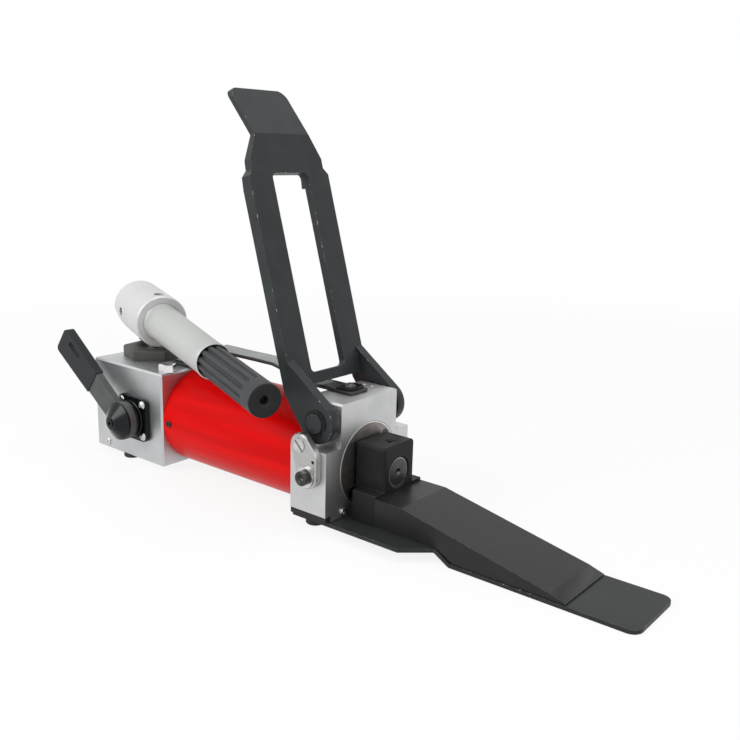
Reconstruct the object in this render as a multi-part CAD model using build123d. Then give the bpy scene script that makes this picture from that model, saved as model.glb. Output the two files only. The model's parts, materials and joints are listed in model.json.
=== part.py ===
"""Wedge jack with its own hand pump, in millimetres.

The jack lies on the floor: +X runs forward along the cylinder, +Y to its left, +Z up. Each piece is
drawn with X = 0 at the front face of the front block and Z = 0 at the floor, and write() then moves it
so that the origin is the middle of the toe's underside.
"""

from build123d import *
import os
from math import acos, atan2, cos, hypot, pi, radians, sin, tan

# Overall lengths and the cylinder's axis
FRONT_BLOCK_LENGTH = 35.7
TUBE_LENGTH = 160.5
PUMP_BLOCK_LENGTH = 96.5
TOE_TIP_X = 236.1
AXIS_Z = 45.7

# Clearances
RUNNING = 0.05
SLIDING = 0.2
SIDE_GAP = 0.15

# Front block: a tower between two shoulders
FRONT_HALF_WIDTH = 50.0
FRONT_TOP_Z = 99.5
TOWER_HALF_WIDTH = 33.4
SHOULDER_Z = 65.6
REBATE_HEIGHT = 4.5
REBATE_DEPTH = 6.0
STRIP_SETBACK = 0.5
TOP_HOLES = ((-26.0, 24.5), (-17.5, 24.5))
TOP_HOLE_RADIUS = 1.6
TOP_HOLE_DEPTH = 8.0
FACE_SCREW_Y = 30.0
FACE_SCREW_Z = 14.2
FACE_SCREW_RADIUS = 1.5
FACE_SCREW_HEAD = 2.8
FACE_SCREW_LENGTH = 8.0
BLOCK_EDGE = 1.5

# Pump block
PUMP_HALF_WIDTH = 44.3
PUMP_BOTTOM_Z = 4.5
PUMP_TOP_Z = 88.7

# Reservoir tube, pressure barrel, piston and rod
TUBE_RADIUS = 42.5
TUBE_WALL = 3.0
END_RING = 4.0
BARREL_RADIUS = 31.0
BARREL_BORE = 25.0
BARREL_SEAT = 14.0
PISTON_LENGTH = 20.0
PISTON_REST_GAP = 1.0
PISTON_SPIGOT = 9.0
ROD_RADIUS = 14.0
ROD_END_RADIUS = 11.5
ROD_RECESS = 1.2
CENTRE_DRILL = 1.3
CENTRE_MOUTH = 2.9
SEAL_WIDTH = 3.0
SEAL_DEPTH = 3.0

# Gland in the front block
GLAND_RADIUS = 33.3
GLAND_FLANGE = 9.0
GLAND_SCREW_CIRCLE = 27.0
GLAND_SCREW_RADIUS = 3.0
GLAND_HEAD_RADIUS = 4.4
GLAND_HEAD_DEPTH = 3.5
GLAND_RIM = 1.0

# Base plate: wings under the front block, a step down, and the toe
PLATE = 3.0
WING_Z = 7.5
WING_HALF_WIDTH = 47.3
WING_FRONT_X = 65.5
STEP_TOP_X = 85.0
STEP_FOOT_X = 98.0
TOE_HALF_WIDTH = 29.5
TOE_CORNER = 8.0
BASE_SCREW_X = -8.0
BASE_SCREW_ROWS = (20.0, 40.0)
BASE_SCREW_RADIUS = 3.0
BASE_SCREW_TIP_Z = 16.5

# Rubber feet
FRONT_FOOT_X = -24.0
FRONT_FOOT_Y = 34.0
FRONT_FOOT_RADIUS = 7.5
REAR_FOOT_SETBACK = 55.8
REAR_FOOT_Y = 35.0
REAR_FOOT_RADIUS = 8.0

# Yoke on the rod's end, and the wedge that it carries
YOKE_REAR_X = 1.6
YOKE_FRONT_X = 30.0
YOKE_HALF_WIDTH = 18.5
YOKE_TOP_Z = 68.3
YOKE_EDGE = 1.6
CARRIAGE_REAR_X = 8.0
CARRIAGE_HALF_WIDTH = 28.5
CARRIAGE_TOP_Z = 34.2
YOKE_SCREW_X = 20.0
YOKE_SCREW_RADIUS = 4.0
WEDGE_TOP_Z = 31.9
WEDGE_FLAT_X = 53.6
WEDGE_BEVEL_X = 175.2
WEDGE_BEVEL_Z = 7.6
WEDGE_TIP_X = 186.9
WEDGE_TIP_THICKNESS = 0.8
WEDGE_STEP_GAP = 1.5
WEDGE_SCREW_Y = 20.0
WEDGE_SCREW_Z = 22.0
WEDGE_SCREW_GRIP = 14.0

# Upper jaw, drawn upright from its pivot and then leaned back
PIVOT_X = -16.0
PIVOT_Z = 84.5
JAW_LEAN = 16.3
JAW_HALF_WIDTH = 44.0
WINDOW_HALF_WIDTH = 19.8
WINDOW_CORNER = 4.0
JAW_FACE = -17.0
JAW_THICKNESS = 9.5
CROSSBAR_THICKNESS = 6.0
LEG_WEB = 6.0
LEG_POCKET = 38.0
JAW_FOOT = 27.0
WINDOW_LOW = 35.8
WINDOW_HIGH = 191.0
SHOULDER_HIGH = 189.5
SHOULDER_CHAMFER = 5.0
NECK_HIGH = 202.0
NECK_HALF_WIDTH = 39.2
BEND_HIGH = 221.5
TIP_HALF_WIDTH = 29.6
TIP_BEND = 24.1
TIP_LENGTH = 43.8
TIP_CORNER = 8.0
TIP_THICKNESS = 5.0
TAPER_LOW = 180.0
EAR_INNER = 36.0
EAR_RADIUS = 16.2
EAR_CORNER_LOW = 24.0
EAR_TOP = 75.0
EAR_FRONT_HIGH = 48.0

# Jaw pins, their clips and thrust washers
PIN_RADIUS = 7.5
PIN_INNER = 16.0
PIN_PROUD = 2.6
CLIP_GROOVE = 0.9
CLIP_THICKNESS = 1.2
CLIP_RADIUS = 9.8
WASHER_RADIUS = 13.0

# Swing latch on the front block's right side
LATCH_X = -14.3
LATCH_Z = 46.0
LATCH_THICKNESS = 6.0
LATCH_LOW_RADIUS = 9.6
LATCH_BEND = (0.8, 15.0)
LATCH_BEND_RADIUS = 8.8
LATCH_TOP = (-6.9, 23.0)
LATCH_TOP_RADIUS = 9.2
LATCH_HOLE = (6.6, 12.6)
LATCH_HOLE_RADIUS = 1.4
LATCH_STUD_RADIUS = 5.2
LATCH_GRIP = 14.0
M8_RADIUS = 4.0
M8_HEAD = 6.5
M8_HEAD_HEIGHT = 8.0
M8_WASHER = 8.0
M8_WASHER_HEIGHT = 1.6

# Carrying strap: its centre line in (x, z), and its clamps
STRAP_HALF_WIDTH = 10.0
STRAP_THICKNESS = 3.0
STRAP_BEND = 9.0
STRAP_CROWN_Z = 110.0
STRAP_CROWN_FRONT_X = -96.0
STRAP_CROWN_AHEAD = 24.2
STRAP_FRONT_X = -11.0
STRAP_LIFT_X = -52.0
STRAP_DROP_SETBACK = 5.8
STRAP_REAR_SETBACK = 27.3
CLAMP_LENGTH = 12.0
CLAMP_THICKNESS = 1.5
CLAMP_INSET = 3.5
CLAMP_POINT = 3.0
STRAP_SCREW_RADIUS = 2.5

# Hand pump on the pump block
PUMP_SETBACK = 63.8
TURRET_RADIUS = 35.6
TURRET_EDGE = 2.0
TURRET_HEIGHT = 10.0
PLUNGER_RADIUS = 7.0
PLUNGER_DEPTH = 32.0
PLUNGER_EYE_RADIUS = 6.5
PLUNGER_EYE_WIDTH = 10.0
PUMP_BARREL_RADIUS = 12.0
PUMP_BARREL_LENGTH = 40.0
PUMP_PIN_RADIUS = 3.5
PUMP_ARM = 24.5
POST_WIDTH = 12.0
POST_DEPTH = 10.0
POST_EYE_RADIUS = 8.0
PIVOT_PIN_RADIUS = 4.0

# Pump handle, drawn along X from its pivot, then pitched down and turned
HANDLE_YAW = 19.5
HANDLE_PITCH = 4.7
HANDLE_PIVOT_Z = 127.9
HEAD_FRONT = 46.9
HEAD_BACK = 20.5
HEAD_RADIUS = 24.0
HEAD_SHELL = 5.0
HEAD_WALL = 7.0
HEAD_SLOT = 17.0
HEAD_SLOT_END = 37.0
HEAD_RELIEF = 9.0
HEAD_SCREW_S = 37.5
HEAD_SCREW_RADIUS = 4.6
HEAD_SCREW_SUNK = 3.8
PIVOT_PIN_SUNK = 1.8
TUBE_SEAT = 4.0
HANDLE_TUBE_LENGTH = 122.0
HANDLE_TUBE_REAR = 17.7
HANDLE_TUBE_FRONT = 15.2
HANDLE_TUBE_WALL = 2.5
HANDLE_LIP = 0.7
HANDLE_WEB = 8.0
HANDLE_LENGTH = 221.0
CORE_RADIUS = 9.0
CORE_BORE = 3.6
GRIP_RADIUS = 13.4
GRIP_CAP = 3.0
GRIP_GROOVES = 12
GRIP_GROOVE_DEPTH = 1.6
GRIP_GROOVE_WIDTH = 3.4
GRIP_GROOVE_START = 0.8
GRIP_GROOVE_LENGTH = 76.0

# Release valve on the pump block's right side
VALVE_SETBACK = 36.8
VALVE_Z = 43.5
FLANGE_SIZE = 39.4
FLANGE_CORNER = 6.0
FLANGE_THICKNESS = 4.2
FLANGE_SCREW_PITCH = 29.0
COLLAR_RADIUS = 16.5
COLLAR_GROOVE = 14.0
COLLAR_LENGTH = 7.3
LEVER_GAP = 0.3
LEVER_ANGLE = 143.3
LEVER_LENGTH = 103.0
LEVER_THICKNESS = 6.0
LEVER_HUB = 17.0
LEVER_ROOT_HALF = 10.5
LEVER_END_HALF = 12.5
LEVER_GRIP_START = 47.0
LEVER_GRIP_THICKNESS = 7.8
LEVER_SLOT = (73.0, 92.0)
LEVER_SLOT_WIDTH = 5.0
LEVER_SLOT_OFFSET = 6.0
KNOB_RADIUS = 16.6
KNOB_BAND = 2.0
KNOB_NOSE = 5.8
KNOB_SCREW_RADIUS = 3.6
KNOB_SOCKET = 5.0
KNOB_LENGTH = 9.6
STEM_RADIUS = 5.0
STEM_DEPTH = 24.0

# Plugs; every setback on the pump block is measured from its front face
FILLER_SETBACK = 6.8
FILLER_Y = -31.5
FILLER_RADIUS = 7.5
FILLER_HEIGHT = 7.0
FILLER_THREAD = 5.0
FILLER_DEPTH = 9.0
SMALL_THREAD = 2.5
SIDE_PLUG_DEPTH = 6.0
SIDE_PLUG_SETBACK = 79.8
SIDE_PLUG_Z = 10.5
BLEED_AHEAD = 7.2

# Places that follow from the sizes above
REAR_FACE_X = -FRONT_BLOCK_LENGTH
PUMP_FRONT_X = REAR_FACE_X - TUBE_LENGTH
PUMP_REAR_X = PUMP_FRONT_X - PUMP_BLOCK_LENGTH
REAR_FOOT_X = PUMP_FRONT_X - REAR_FOOT_SETBACK
STRAP_CROWN_REAR_X = PUMP_FRONT_X + STRAP_CROWN_AHEAD
STRAP_DROP_X = PUMP_FRONT_X - STRAP_DROP_SETBACK
STRAP_REAR_X = PUMP_FRONT_X - STRAP_REAR_SETBACK
PUMP_X = PUMP_FRONT_X - PUMP_SETBACK
VALVE_X = PUMP_FRONT_X - VALVE_SETBACK
FILLER_X = PUMP_FRONT_X - FILLER_SETBACK
SIDE_PLUG_X = PUMP_FRONT_X - SIDE_PLUG_SETBACK
BLEED_X = PUMP_FRONT_X + BLEED_AHEAD
WING_TOP_Z = WING_Z + PLATE
TURRET_TOP_Z = PUMP_TOP_Z + TURRET_HEIGHT
PISTON_REAR_X = PUMP_FRONT_X - BARREL_SEAT + PISTON_REST_GAP
PISTON_SEAL_X = PISTON_REAR_X + PISTON_LENGTH / 2
ROD_SEAL_X = -GLAND_FLANGE - 4
WIPER_X = -SEAL_WIDTH / 2
LATCH_FACE_Y = -FRONT_HALF_WIDTH - SIDE_GAP
HEAD_BORE = HEAD_RADIUS - HEAD_SHELL
FLANGE_FACE_Y = -PUMP_HALF_WIDTH - FLANGE_THICKNESS
COLLAR_FACE_Y = FLANGE_FACE_Y - COLLAR_LENGTH
LEVER_FACE_Y = COLLAR_FACE_Y - LEVER_GAP
LEVER_OUT_Y = LEVER_FACE_Y - LEVER_THICKNESS
ORIGIN_X = (STEP_FOOT_X + TOE_TIP_X) / 2

os.makedirs("parts", exist_ok=True)


def write(node, *shapes):
    """Moves a piece, or several alike, to the origin under the toe and writes one node."""
    place = Location((-ORIGIN_X, 0, 0))
    solids = [solid.moved(place) for shape in shapes for solid in shape.solids()]
    whole = solids[0] if len(solids) == 1 else Compound(children=solids)
    export_step(whole, f"parts/{node}.step")


def box(x0, x1, y0, y1, z0, z1):
    """A box between two corners."""
    block = Box(x1 - x0, y1 - y0, z1 - z0)
    return Pos((x0 + x1) / 2, (y0 + y1) / 2, (z0 + z1) / 2) * block


def side_box(x0, x1, inner, outer, z0, z1, side):
    """A box on one side of the middle plane, between two distances from it."""
    low, high = sorted((side * inner, side * outer))
    return box(x0, x1, low, high, z0, z1)


def rod_x(radius, x0, x1, y=0.0, z=AXIS_Z):
    """A cylinder along X."""
    return Pos((x0 + x1) / 2, y, z) * Rot(0, 90, 0) * Cylinder(radius, x1 - x0)


def rod_y(radius, y0, y1, x, z):
    """A cylinder along Y."""
    return Pos(x, (y0 + y1) / 2, z) * Rot(90, 0, 0) * Cylinder(radius, y1 - y0)


def rod_z(radius, z0, z1, x=0.0, y=0.0):
    """A cylinder along Z."""
    return Pos(x, y, (z0 + z1) / 2) * Cylinder(radius, z1 - z0)


def slab_xz(outline, y0, y1):
    """A closed outline of (x, z) points, extruded from y0 to y1."""
    face = make_face(Plane.XZ * Polyline(*outline, close=True))
    return Pos(0, y1, 0) * extrude(face, amount=y1 - y0, dir=(0, -1, 0))


def slab_xy(outline, z0, z1):
    """A closed outline of (x, y) points, extruded from z0 to z1."""
    face = make_face(Polyline(*outline, close=True))
    return Pos(0, 0, z0) * extrude(face, amount=z1 - z0, dir=(0, 0, 1))


def link_xz(x0, z0, r0, x1, z1, r1, y0, y1):
    """A plate around two round ends of different radius, joined by their common tangents."""
    along = atan2(z1 - z0, x1 - x0)
    lean = acos((r0 - r1) / hypot(x1 - x0, z1 - z0))
    tangents = []
    for x, z, r, turn in ((x0, z0, r0, 1), (x1, z1, r1, 1), (x1, z1, r1, -1), (x0, z0, r0, -1)):
        angle = along + turn * lean
        tangents.append((x + r * cos(angle), z + r * sin(angle)))
    return slab_xz(tangents, y0, y1) + rod_y(r0, y0, y1, x0, z0) + rod_y(r1, y0, y1, x1, z1)


def hex_socket(across, depth):
    """A hexagonal socket to cut, reaching down from Z = 0."""
    return Pos(0, 0, -depth) * extrude(RegularPolygon(across / 2 / cos(pi / 6), 6), amount=depth + 1)


def cap_screw(thread, length, head, height, across):
    """A socket cap screw: its head stands on Z = 0 and its shank goes down."""
    top = chamfer(rod_z(head, 0, height).edges().group_by(Axis.Z)[-1], 0.08 * head)
    return rod_z(thread, -length, 0) + top - Pos(0, 0, height) * hex_socket(across, height * 0.55)


def button_screw(thread, length, head, height, across):
    """A round-headed screw: a low dome on Z = 0 with a hexagonal socket."""
    crown = (head * head + height * height) / (2 * height)
    dome = rod_z(head, 0, height) & Pos(0, 0, height - crown) * Sphere(crown)
    return rod_z(thread, -length, 0) + dome - Pos(0, 0, height) * hex_socket(across, height * 0.6)


def right_side(y):
    """Turns a screw's axis to -Y, with its head's seat at the given y."""
    return Pos(0, y, 0) * Rot(90, 0, 0)


def front_block():
    """The front housing, bored for the barrel, the gland and the two jaw pins."""
    body = box(REAR_FACE_X, 0, -FRONT_HALF_WIDTH, FRONT_HALF_WIDTH, WING_TOP_Z, FRONT_TOP_Z)
    body = chamfer(body.edges().group_by(Axis.Z)[-1].filter_by(Axis.X), BLOCK_EDGE)
    beyond = FRONT_HALF_WIDTH + 1
    for side in (-1, 1):
        pocket = (TOWER_HALF_WIDTH, beyond, SHOULDER_Z, FRONT_TOP_Z + 1)
        body -= side_box(REAR_FACE_X - 1, 1, *pocket, side)
        rebate = (FRONT_HALF_WIDTH - REBATE_DEPTH, beyond, WING_TOP_Z - 1, WING_TOP_Z + REBATE_HEIGHT)
        body -= side_box(REAR_FACE_X - 1, 1, *rebate, side)
        low, high = sorted((side * PIN_INNER, side * beyond))
        body -= rod_y(PIN_RADIUS, low, high, PIVOT_X, PIVOT_Z)
    body = chamfer(body.edges().filter_by(Axis.X).group_by(Axis.Z)[-1], BLOCK_EDGE)
    body -= rod_x(BARREL_RADIUS, REAR_FACE_X - 1, REAR_FACE_X + BARREL_SEAT)
    body -= rod_x(BARREL_BORE, REAR_FACE_X, 0)
    body -= rod_x(GLAND_RADIUS, -GLAND_FLANGE, 1)
    rim = Rot(0, 90, 0) * Cone(GLAND_RADIUS - 0.2, GLAND_RADIUS + GLAND_RIM, GLAND_RIM + 0.2)
    body -= Pos(-GLAND_RIM / 4, 0, AXIS_Z) * rim
    for x, y in base_screw_places():
        body -= rod_z(BASE_SCREW_RADIUS, WING_TOP_Z - 1, BASE_SCREW_TIP_Z, x, y)
    for x, y in TOP_HOLES:
        body -= rod_z(TOP_HOLE_RADIUS, FRONT_TOP_Z - TOP_HOLE_DEPTH, FRONT_TOP_Z + 1, x, y)
    for side in (-1, 1):
        body -= rod_x(FACE_SCREW_RADIUS, -FACE_SCREW_LENGTH, 1, side * FACE_SCREW_Y, FACE_SCREW_Z)
    body -= rod_y(M8_RADIUS, -beyond, LATCH_FACE_Y + LATCH_GRIP, LATCH_X, LATCH_Z)
    return body


def edge_strip(side):
    """A dark bar that fills the rebate along one lower edge of the front block."""
    width = (FRONT_HALF_WIDTH - REBATE_DEPTH, FRONT_HALF_WIDTH - STRIP_SETBACK)
    return side_box(REAR_FACE_X, 0, *width, WING_TOP_Z, WING_TOP_Z + REBATE_HEIGHT, side)


def face_screw(side):
    """A small screw low on the front block's front face."""
    screw = cap_screw(FACE_SCREW_RADIUS, FACE_SCREW_LENGTH, FACE_SCREW_HEAD, FACE_SCREW_HEAD / 2, 2.0)
    return Pos(0, side * FACE_SCREW_Y, FACE_SCREW_Z) * Rot(0, 90, 0) * screw


def pump_block():
    """The rear housing, bored for the barrel, the pump barrel, the release valve and the plugs."""
    body = box(PUMP_REAR_X, PUMP_FRONT_X, -PUMP_HALF_WIDTH, PUMP_HALF_WIDTH, PUMP_BOTTOM_Z, PUMP_TOP_Z)
    body = chamfer(body.edges(), BLOCK_EDGE)
    body -= rod_x(BARREL_RADIUS, PUMP_FRONT_X - BARREL_SEAT, PUMP_FRONT_X + 1)
    body -= rod_z(PUMP_BARREL_RADIUS, PUMP_TOP_Z - PUMP_BARREL_LENGTH, PUMP_TOP_Z + 1, PUMP_X)
    body -= rod_y(STEM_RADIUS, -PUMP_HALF_WIDTH - 1, -PUMP_HALF_WIDTH + STEM_DEPTH, VALVE_X, VALVE_Z)
    body -= rod_z(FILLER_THREAD, PUMP_TOP_Z - FILLER_DEPTH, PUMP_TOP_Z + 1, FILLER_X, FILLER_Y)
    face = -PUMP_HALF_WIDTH
    body -= rod_y(SMALL_THREAD, face - 1, face + SIDE_PLUG_DEPTH, SIDE_PLUG_X, SIDE_PLUG_Z)
    return body


def reservoir_tube():
    """The painted outer tube, which holds the oil around the pressure barrel."""
    x0, x1 = PUMP_FRONT_X, REAR_FACE_X - END_RING
    tube = rod_x(TUBE_RADIUS, x0, x1) - rod_x(TUBE_RADIUS - TUBE_WALL, x0 - 1, x1 + 1)
    return tube - rod_y(SMALL_THREAD, -TUBE_RADIUS - 1, -TUBE_RADIUS + TUBE_WALL + 1, BLEED_X, AXIS_Z)


def tube_end_ring():
    """The welded plate that closes the reservoir at the front block."""
    x0, x1 = REAR_FACE_X - END_RING, REAR_FACE_X
    return rod_x(TUBE_RADIUS, x0, x1) - rod_x(BARREL_RADIUS, x0 - 1, x1 + 1)


def cylinder_barrel():
    """The pressure barrel, seated in both blocks."""
    x0, x1 = PUMP_FRONT_X - BARREL_SEAT, REAR_FACE_X + BARREL_SEAT
    return rod_x(BARREL_RADIUS, x0, x1) - rod_x(BARREL_BORE, x0 - 1, x1 + 1)


def ring_x(outer, inner, x0, x1):
    """A ring around the cylinder's axis."""
    return rod_x(outer, x0, x1) - rod_x(inner, x0 - 1, x1 + 1)


def seal_span(centre):
    """Where a seal of the common width starts and ends along X."""
    return centre - SEAL_WIDTH / 2, centre + SEAL_WIDTH / 2


def piston():
    """The piston, with the groove for its seal and a bore for the rod's spigot."""
    x0, x1 = PISTON_REAR_X, PISTON_REAR_X + PISTON_LENGTH
    radius = BARREL_BORE - RUNNING
    body = rod_x(radius, x0, x1) - rod_x(PISTON_SPIGOT, x0 - 1, x1 + 1)
    return body - ring_x(radius + 1, radius - SEAL_DEPTH, *seal_span(PISTON_SEAL_X))


def piston_seal():
    """The piston's seal, in its groove."""
    radius = BARREL_BORE - RUNNING
    return ring_x(radius, radius - SEAL_DEPTH, *seal_span(PISTON_SEAL_X))


def piston_rod():
    """The rod: a spigot in the piston, the ground shaft, and a turned end in the yoke."""
    front = YOKE_FRONT_X - ROD_RECESS
    shaft = rod_x(PISTON_SPIGOT, PISTON_REAR_X, PISTON_REAR_X + PISTON_LENGTH)
    shaft += rod_x(ROD_RADIUS, PISTON_REAR_X + PISTON_LENGTH, YOKE_REAR_X)
    shaft += rod_x(ROD_END_RADIUS, YOKE_REAR_X, front)
    centre = rod_x(CENTRE_DRILL, front - 6, front + 1)
    mouth = CENTRE_MOUTH - CENTRE_DRILL
    cone = Pos(front - mouth / 2, 0, AXIS_Z) * Rot(0, 90, 0) * Cone(CENTRE_DRILL, CENTRE_MOUTH, mouth)
    return shaft - centre - cone


def gland_ring():
    """The gland, screwed into the front block around the rod."""
    body = rod_x(GLAND_RADIUS, -GLAND_FLANGE, 0)
    body += rod_x(BARREL_BORE, REAR_FACE_X + BARREL_SEAT, -GLAND_FLANGE)
    body -= rod_x(ROD_RADIUS + RUNNING, REAR_FACE_X, 1)
    for centre in (ROD_SEAL_X, WIPER_X):
        body -= rod_x(ROD_RADIUS + SEAL_DEPTH, *seal_span(centre))
    for x, y, z in gland_screw_places():
        body -= rod_x(GLAND_HEAD_RADIUS, x - GLAND_HEAD_DEPTH, x + 1, y, z)
        body -= rod_x(GLAND_SCREW_RADIUS, -GLAND_FLANGE, x, y, z)
    return body


def rod_seal(centre):
    """A seal between gland and rod."""
    return ring_x(ROD_RADIUS + SEAL_DEPTH, ROD_RADIUS + RUNNING, *seal_span(centre))


def gland_screw_places():
    """The two gland screws, opposite each other on one diagonal."""
    reach = GLAND_SCREW_CIRCLE * cos(pi / 4)
    return [(0, side * reach, AXIS_Z + side * reach) for side in (-1, 1)]


def gland_screw(x, y, z):
    """One gland screw, its head sunk just below the gland's face."""
    length = GLAND_FLANGE - GLAND_HEAD_DEPTH
    screw = cap_screw(GLAND_SCREW_RADIUS, length, GLAND_HEAD_RADIUS, GLAND_HEAD_DEPTH - 0.3, 3.0)
    return Pos(x - GLAND_HEAD_DEPTH, y, z) * Rot(0, 90, 0) * screw


def base_screw_places():
    """The screws that hold the base plate up to the front block."""
    return [(BASE_SCREW_X, side * row) for side in (-1, 1) for row in BASE_SCREW_ROWS]


def base_plate():
    """The wings, the step down and the toe, pressed from one plate."""
    half = WING_HALF_WIDTH
    shift = PLATE * tan(atan2(WING_Z, STEP_FOOT_X - STEP_TOP_X) / 2)
    profile = [
        (REAR_FACE_X, WING_TOP_Z),
        (STEP_TOP_X, WING_TOP_Z),
        (STEP_FOOT_X, PLATE),
        (TOE_TIP_X, PLATE),
        (TOE_TIP_X, 0),
        (STEP_FOOT_X - shift, 0),
        (STEP_TOP_X - shift, WING_Z),
        (REAR_FACE_X, WING_Z),
    ]
    outline = [
        (REAR_FACE_X, -half),
        (WING_FRONT_X, -half),
        (STEP_TOP_X, -TOE_HALF_WIDTH),
        (TOE_TIP_X, -TOE_HALF_WIDTH),
        (TOE_TIP_X, TOE_HALF_WIDTH),
        (STEP_TOP_X, TOE_HALF_WIDTH),
        (WING_FRONT_X, half),
        (REAR_FACE_X, half),
    ]
    plate = slab_xz(profile, -half, half) & slab_xy(outline, -1, WING_TOP_Z + 1)
    plate = fillet(plate.edges().filter_by(Axis.Z).group_by(Axis.X)[-1], TOE_CORNER)
    for x, y in base_screw_places():
        plate -= Pos(x, y, WING_Z + PLATE / 2) * Cone(2 * BASE_SCREW_RADIUS, BASE_SCREW_RADIUS, PLATE)
    return plate


def base_screw(x, y):
    """A countersunk screw, flush with the plate's underside."""
    shank = rod_z(BASE_SCREW_RADIUS, WING_TOP_Z, BASE_SCREW_TIP_Z, x, y)
    head = Pos(x, y, WING_Z + PLATE / 2) * Cone(2 * BASE_SCREW_RADIUS, BASE_SCREW_RADIUS, PLATE)
    socket = Pos(x, y, WING_Z) * Rot(180, 0, 0) * hex_socket(4.0, 2.0)
    return shank + head - socket


def foot(radius, height, x, y):
    """A moulded rubber foot on the floor."""
    body = rod_z(radius, 0, height, x, y)
    return chamfer(body.edges().group_by(Axis.Z)[0], 0.8)


def yoke():
    """The block on the rod's end: a head for the rod, and a broad foot that pushes the wedge."""
    head = box(YOKE_REAR_X, YOKE_FRONT_X, -YOKE_HALF_WIDTH, YOKE_HALF_WIDTH, WEDGE_TOP_Z, YOKE_TOP_Z)
    head = chamfer(head.edges().filter_by(Axis.Z) + head.edges().group_by(Axis.Z)[-1], YOKE_EDGE)
    low = WING_TOP_Z + SLIDING
    half = CARRIAGE_HALF_WIDTH
    body = head + box(CARRIAGE_REAR_X, YOKE_FRONT_X, -half, half, low, CARRIAGE_TOP_Z)
    body -= rod_x(ROD_END_RADIUS, YOKE_REAR_X - 1, YOKE_FRONT_X + 1)
    mouth = Rot(0, 90, 0) * Cone(ROD_END_RADIUS, ROD_END_RADIUS + 0.9, 0.9)
    body -= Pos(YOKE_FRONT_X - 0.45, 0, AXIS_Z) * mouth
    body -= rod_z(YOKE_SCREW_RADIUS, AXIS_Z + ROD_END_RADIUS - 2, YOKE_TOP_Z + 1, YOKE_SCREW_X)
    for side in (-1, 1):
        place = (side * WEDGE_SCREW_Y, WEDGE_SCREW_Z)
        body -= rod_x(M8_RADIUS, CARRIAGE_REAR_X, YOKE_FRONT_X + 1, *place)
        body -= rod_x(M8_HEAD, YOKE_REAR_X - 1, CARRIAGE_REAR_X + M8_HEAD_HEIGHT, *place)
    return body


def yoke_screw():
    """The clamping screw in the yoke's top, down onto the rod's end."""
    top = YOKE_TOP_Z - 0.6
    shank = rod_z(YOKE_SCREW_RADIUS, AXIS_Z + ROD_END_RADIUS, top, YOKE_SCREW_X)
    return shank - Pos(YOKE_SCREW_X, 0, top) * hex_socket(4.0, 3.0)


def wedge():
    """The driven wedge: flat at the back, a long slope, and a bevelled nose that slides on the toe."""
    low = WING_TOP_Z + SLIDING
    foot_z = PLATE + SLIDING
    profile = [
        (YOKE_FRONT_X, low),
        (YOKE_FRONT_X, WEDGE_TOP_Z),
        (WEDGE_FLAT_X, WEDGE_TOP_Z),
        (WEDGE_BEVEL_X, WEDGE_BEVEL_Z),
        (WEDGE_TIP_X, foot_z + WEDGE_TIP_THICKNESS),
        (WEDGE_TIP_X, foot_z),
        (STEP_FOOT_X + WEDGE_STEP_GAP, foot_z),
        (STEP_TOP_X + WEDGE_STEP_GAP, low),
    ]
    body = slab_xz(profile, -CARRIAGE_HALF_WIDTH, CARRIAGE_HALF_WIDTH)
    for side in (-1, 1):
        place = (side * WEDGE_SCREW_Y, WEDGE_SCREW_Z)
        body -= rod_x(M8_RADIUS, YOKE_FRONT_X - 1, YOKE_FRONT_X + WEDGE_SCREW_GRIP, *place)
    return body


def wedge_screw(side):
    """A cap screw from the yoke's back into the wedge, sunk in a counterbore."""
    length = YOKE_FRONT_X - CARRIAGE_REAR_X - M8_HEAD_HEIGHT + WEDGE_SCREW_GRIP
    screw = cap_screw(M8_RADIUS, length, M8_HEAD, M8_HEAD_HEIGHT - 0.3, 6.0)
    seat = CARRIAGE_REAR_X + M8_HEAD_HEIGHT
    return Pos(seat, side * WEDGE_SCREW_Y, WEDGE_SCREW_Z) * Rot(0, -90, 0) * screw


def lean(shape):
    """Leans a piece of the jaw back about the pivot, as it stands when open."""
    return Pos(PIVOT_X, 0, PIVOT_Z) * Rot(0, -JAW_LEAN, 0) * shape


def jaw_plate():
    """The jaw's frame and bent tip, before the ears are added: side view times front view."""
    back = JAW_FACE - JAW_THICKNESS
    bend = radians(TIP_BEND)
    tip_x = JAW_FACE - TIP_LENGTH * sin(bend)
    tip_z = BEND_HIGH + TIP_LENGTH * cos(bend)
    half_turn = TIP_THICKNESS * tan(bend / 2)
    side_view = [
        (JAW_FACE, JAW_FOOT),
        (JAW_FACE, BEND_HIGH),
        (tip_x, tip_z),
        (tip_x - TIP_THICKNESS * cos(bend), tip_z - TIP_THICKNESS * sin(bend)),
        (JAW_FACE - TIP_THICKNESS, BEND_HIGH - half_turn),
        (back, TAPER_LOW),
        (back, JAW_FOOT),
    ]
    right = [
        (JAW_HALF_WIDTH, JAW_FOOT),
        (JAW_HALF_WIDTH, SHOULDER_HIGH),
        (NECK_HALF_WIDTH, SHOULDER_HIGH + SHOULDER_CHAMFER),
        (NECK_HALF_WIDTH, NECK_HIGH),
        (TIP_HALF_WIDTH, BEND_HIGH),
        (TIP_HALF_WIDTH, tip_z + 0.1),
    ]
    outline = right + [(-y, z) for y, z in reversed(right)]
    front_view = make_face(Plane.YZ * Polyline(*outline, close=True))
    front_view = fillet(front_view.vertices().group_by(Axis.Z)[-1], TIP_CORNER)
    reach = 2 * (TIP_LENGTH + JAW_THICKNESS)
    plate = slab_xz(side_view, -JAW_HALF_WIDTH, JAW_HALF_WIDTH)
    return plate & Pos(-reach, 0, 0) * extrude(front_view, amount=reach, dir=(1, 0, 0))


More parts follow.
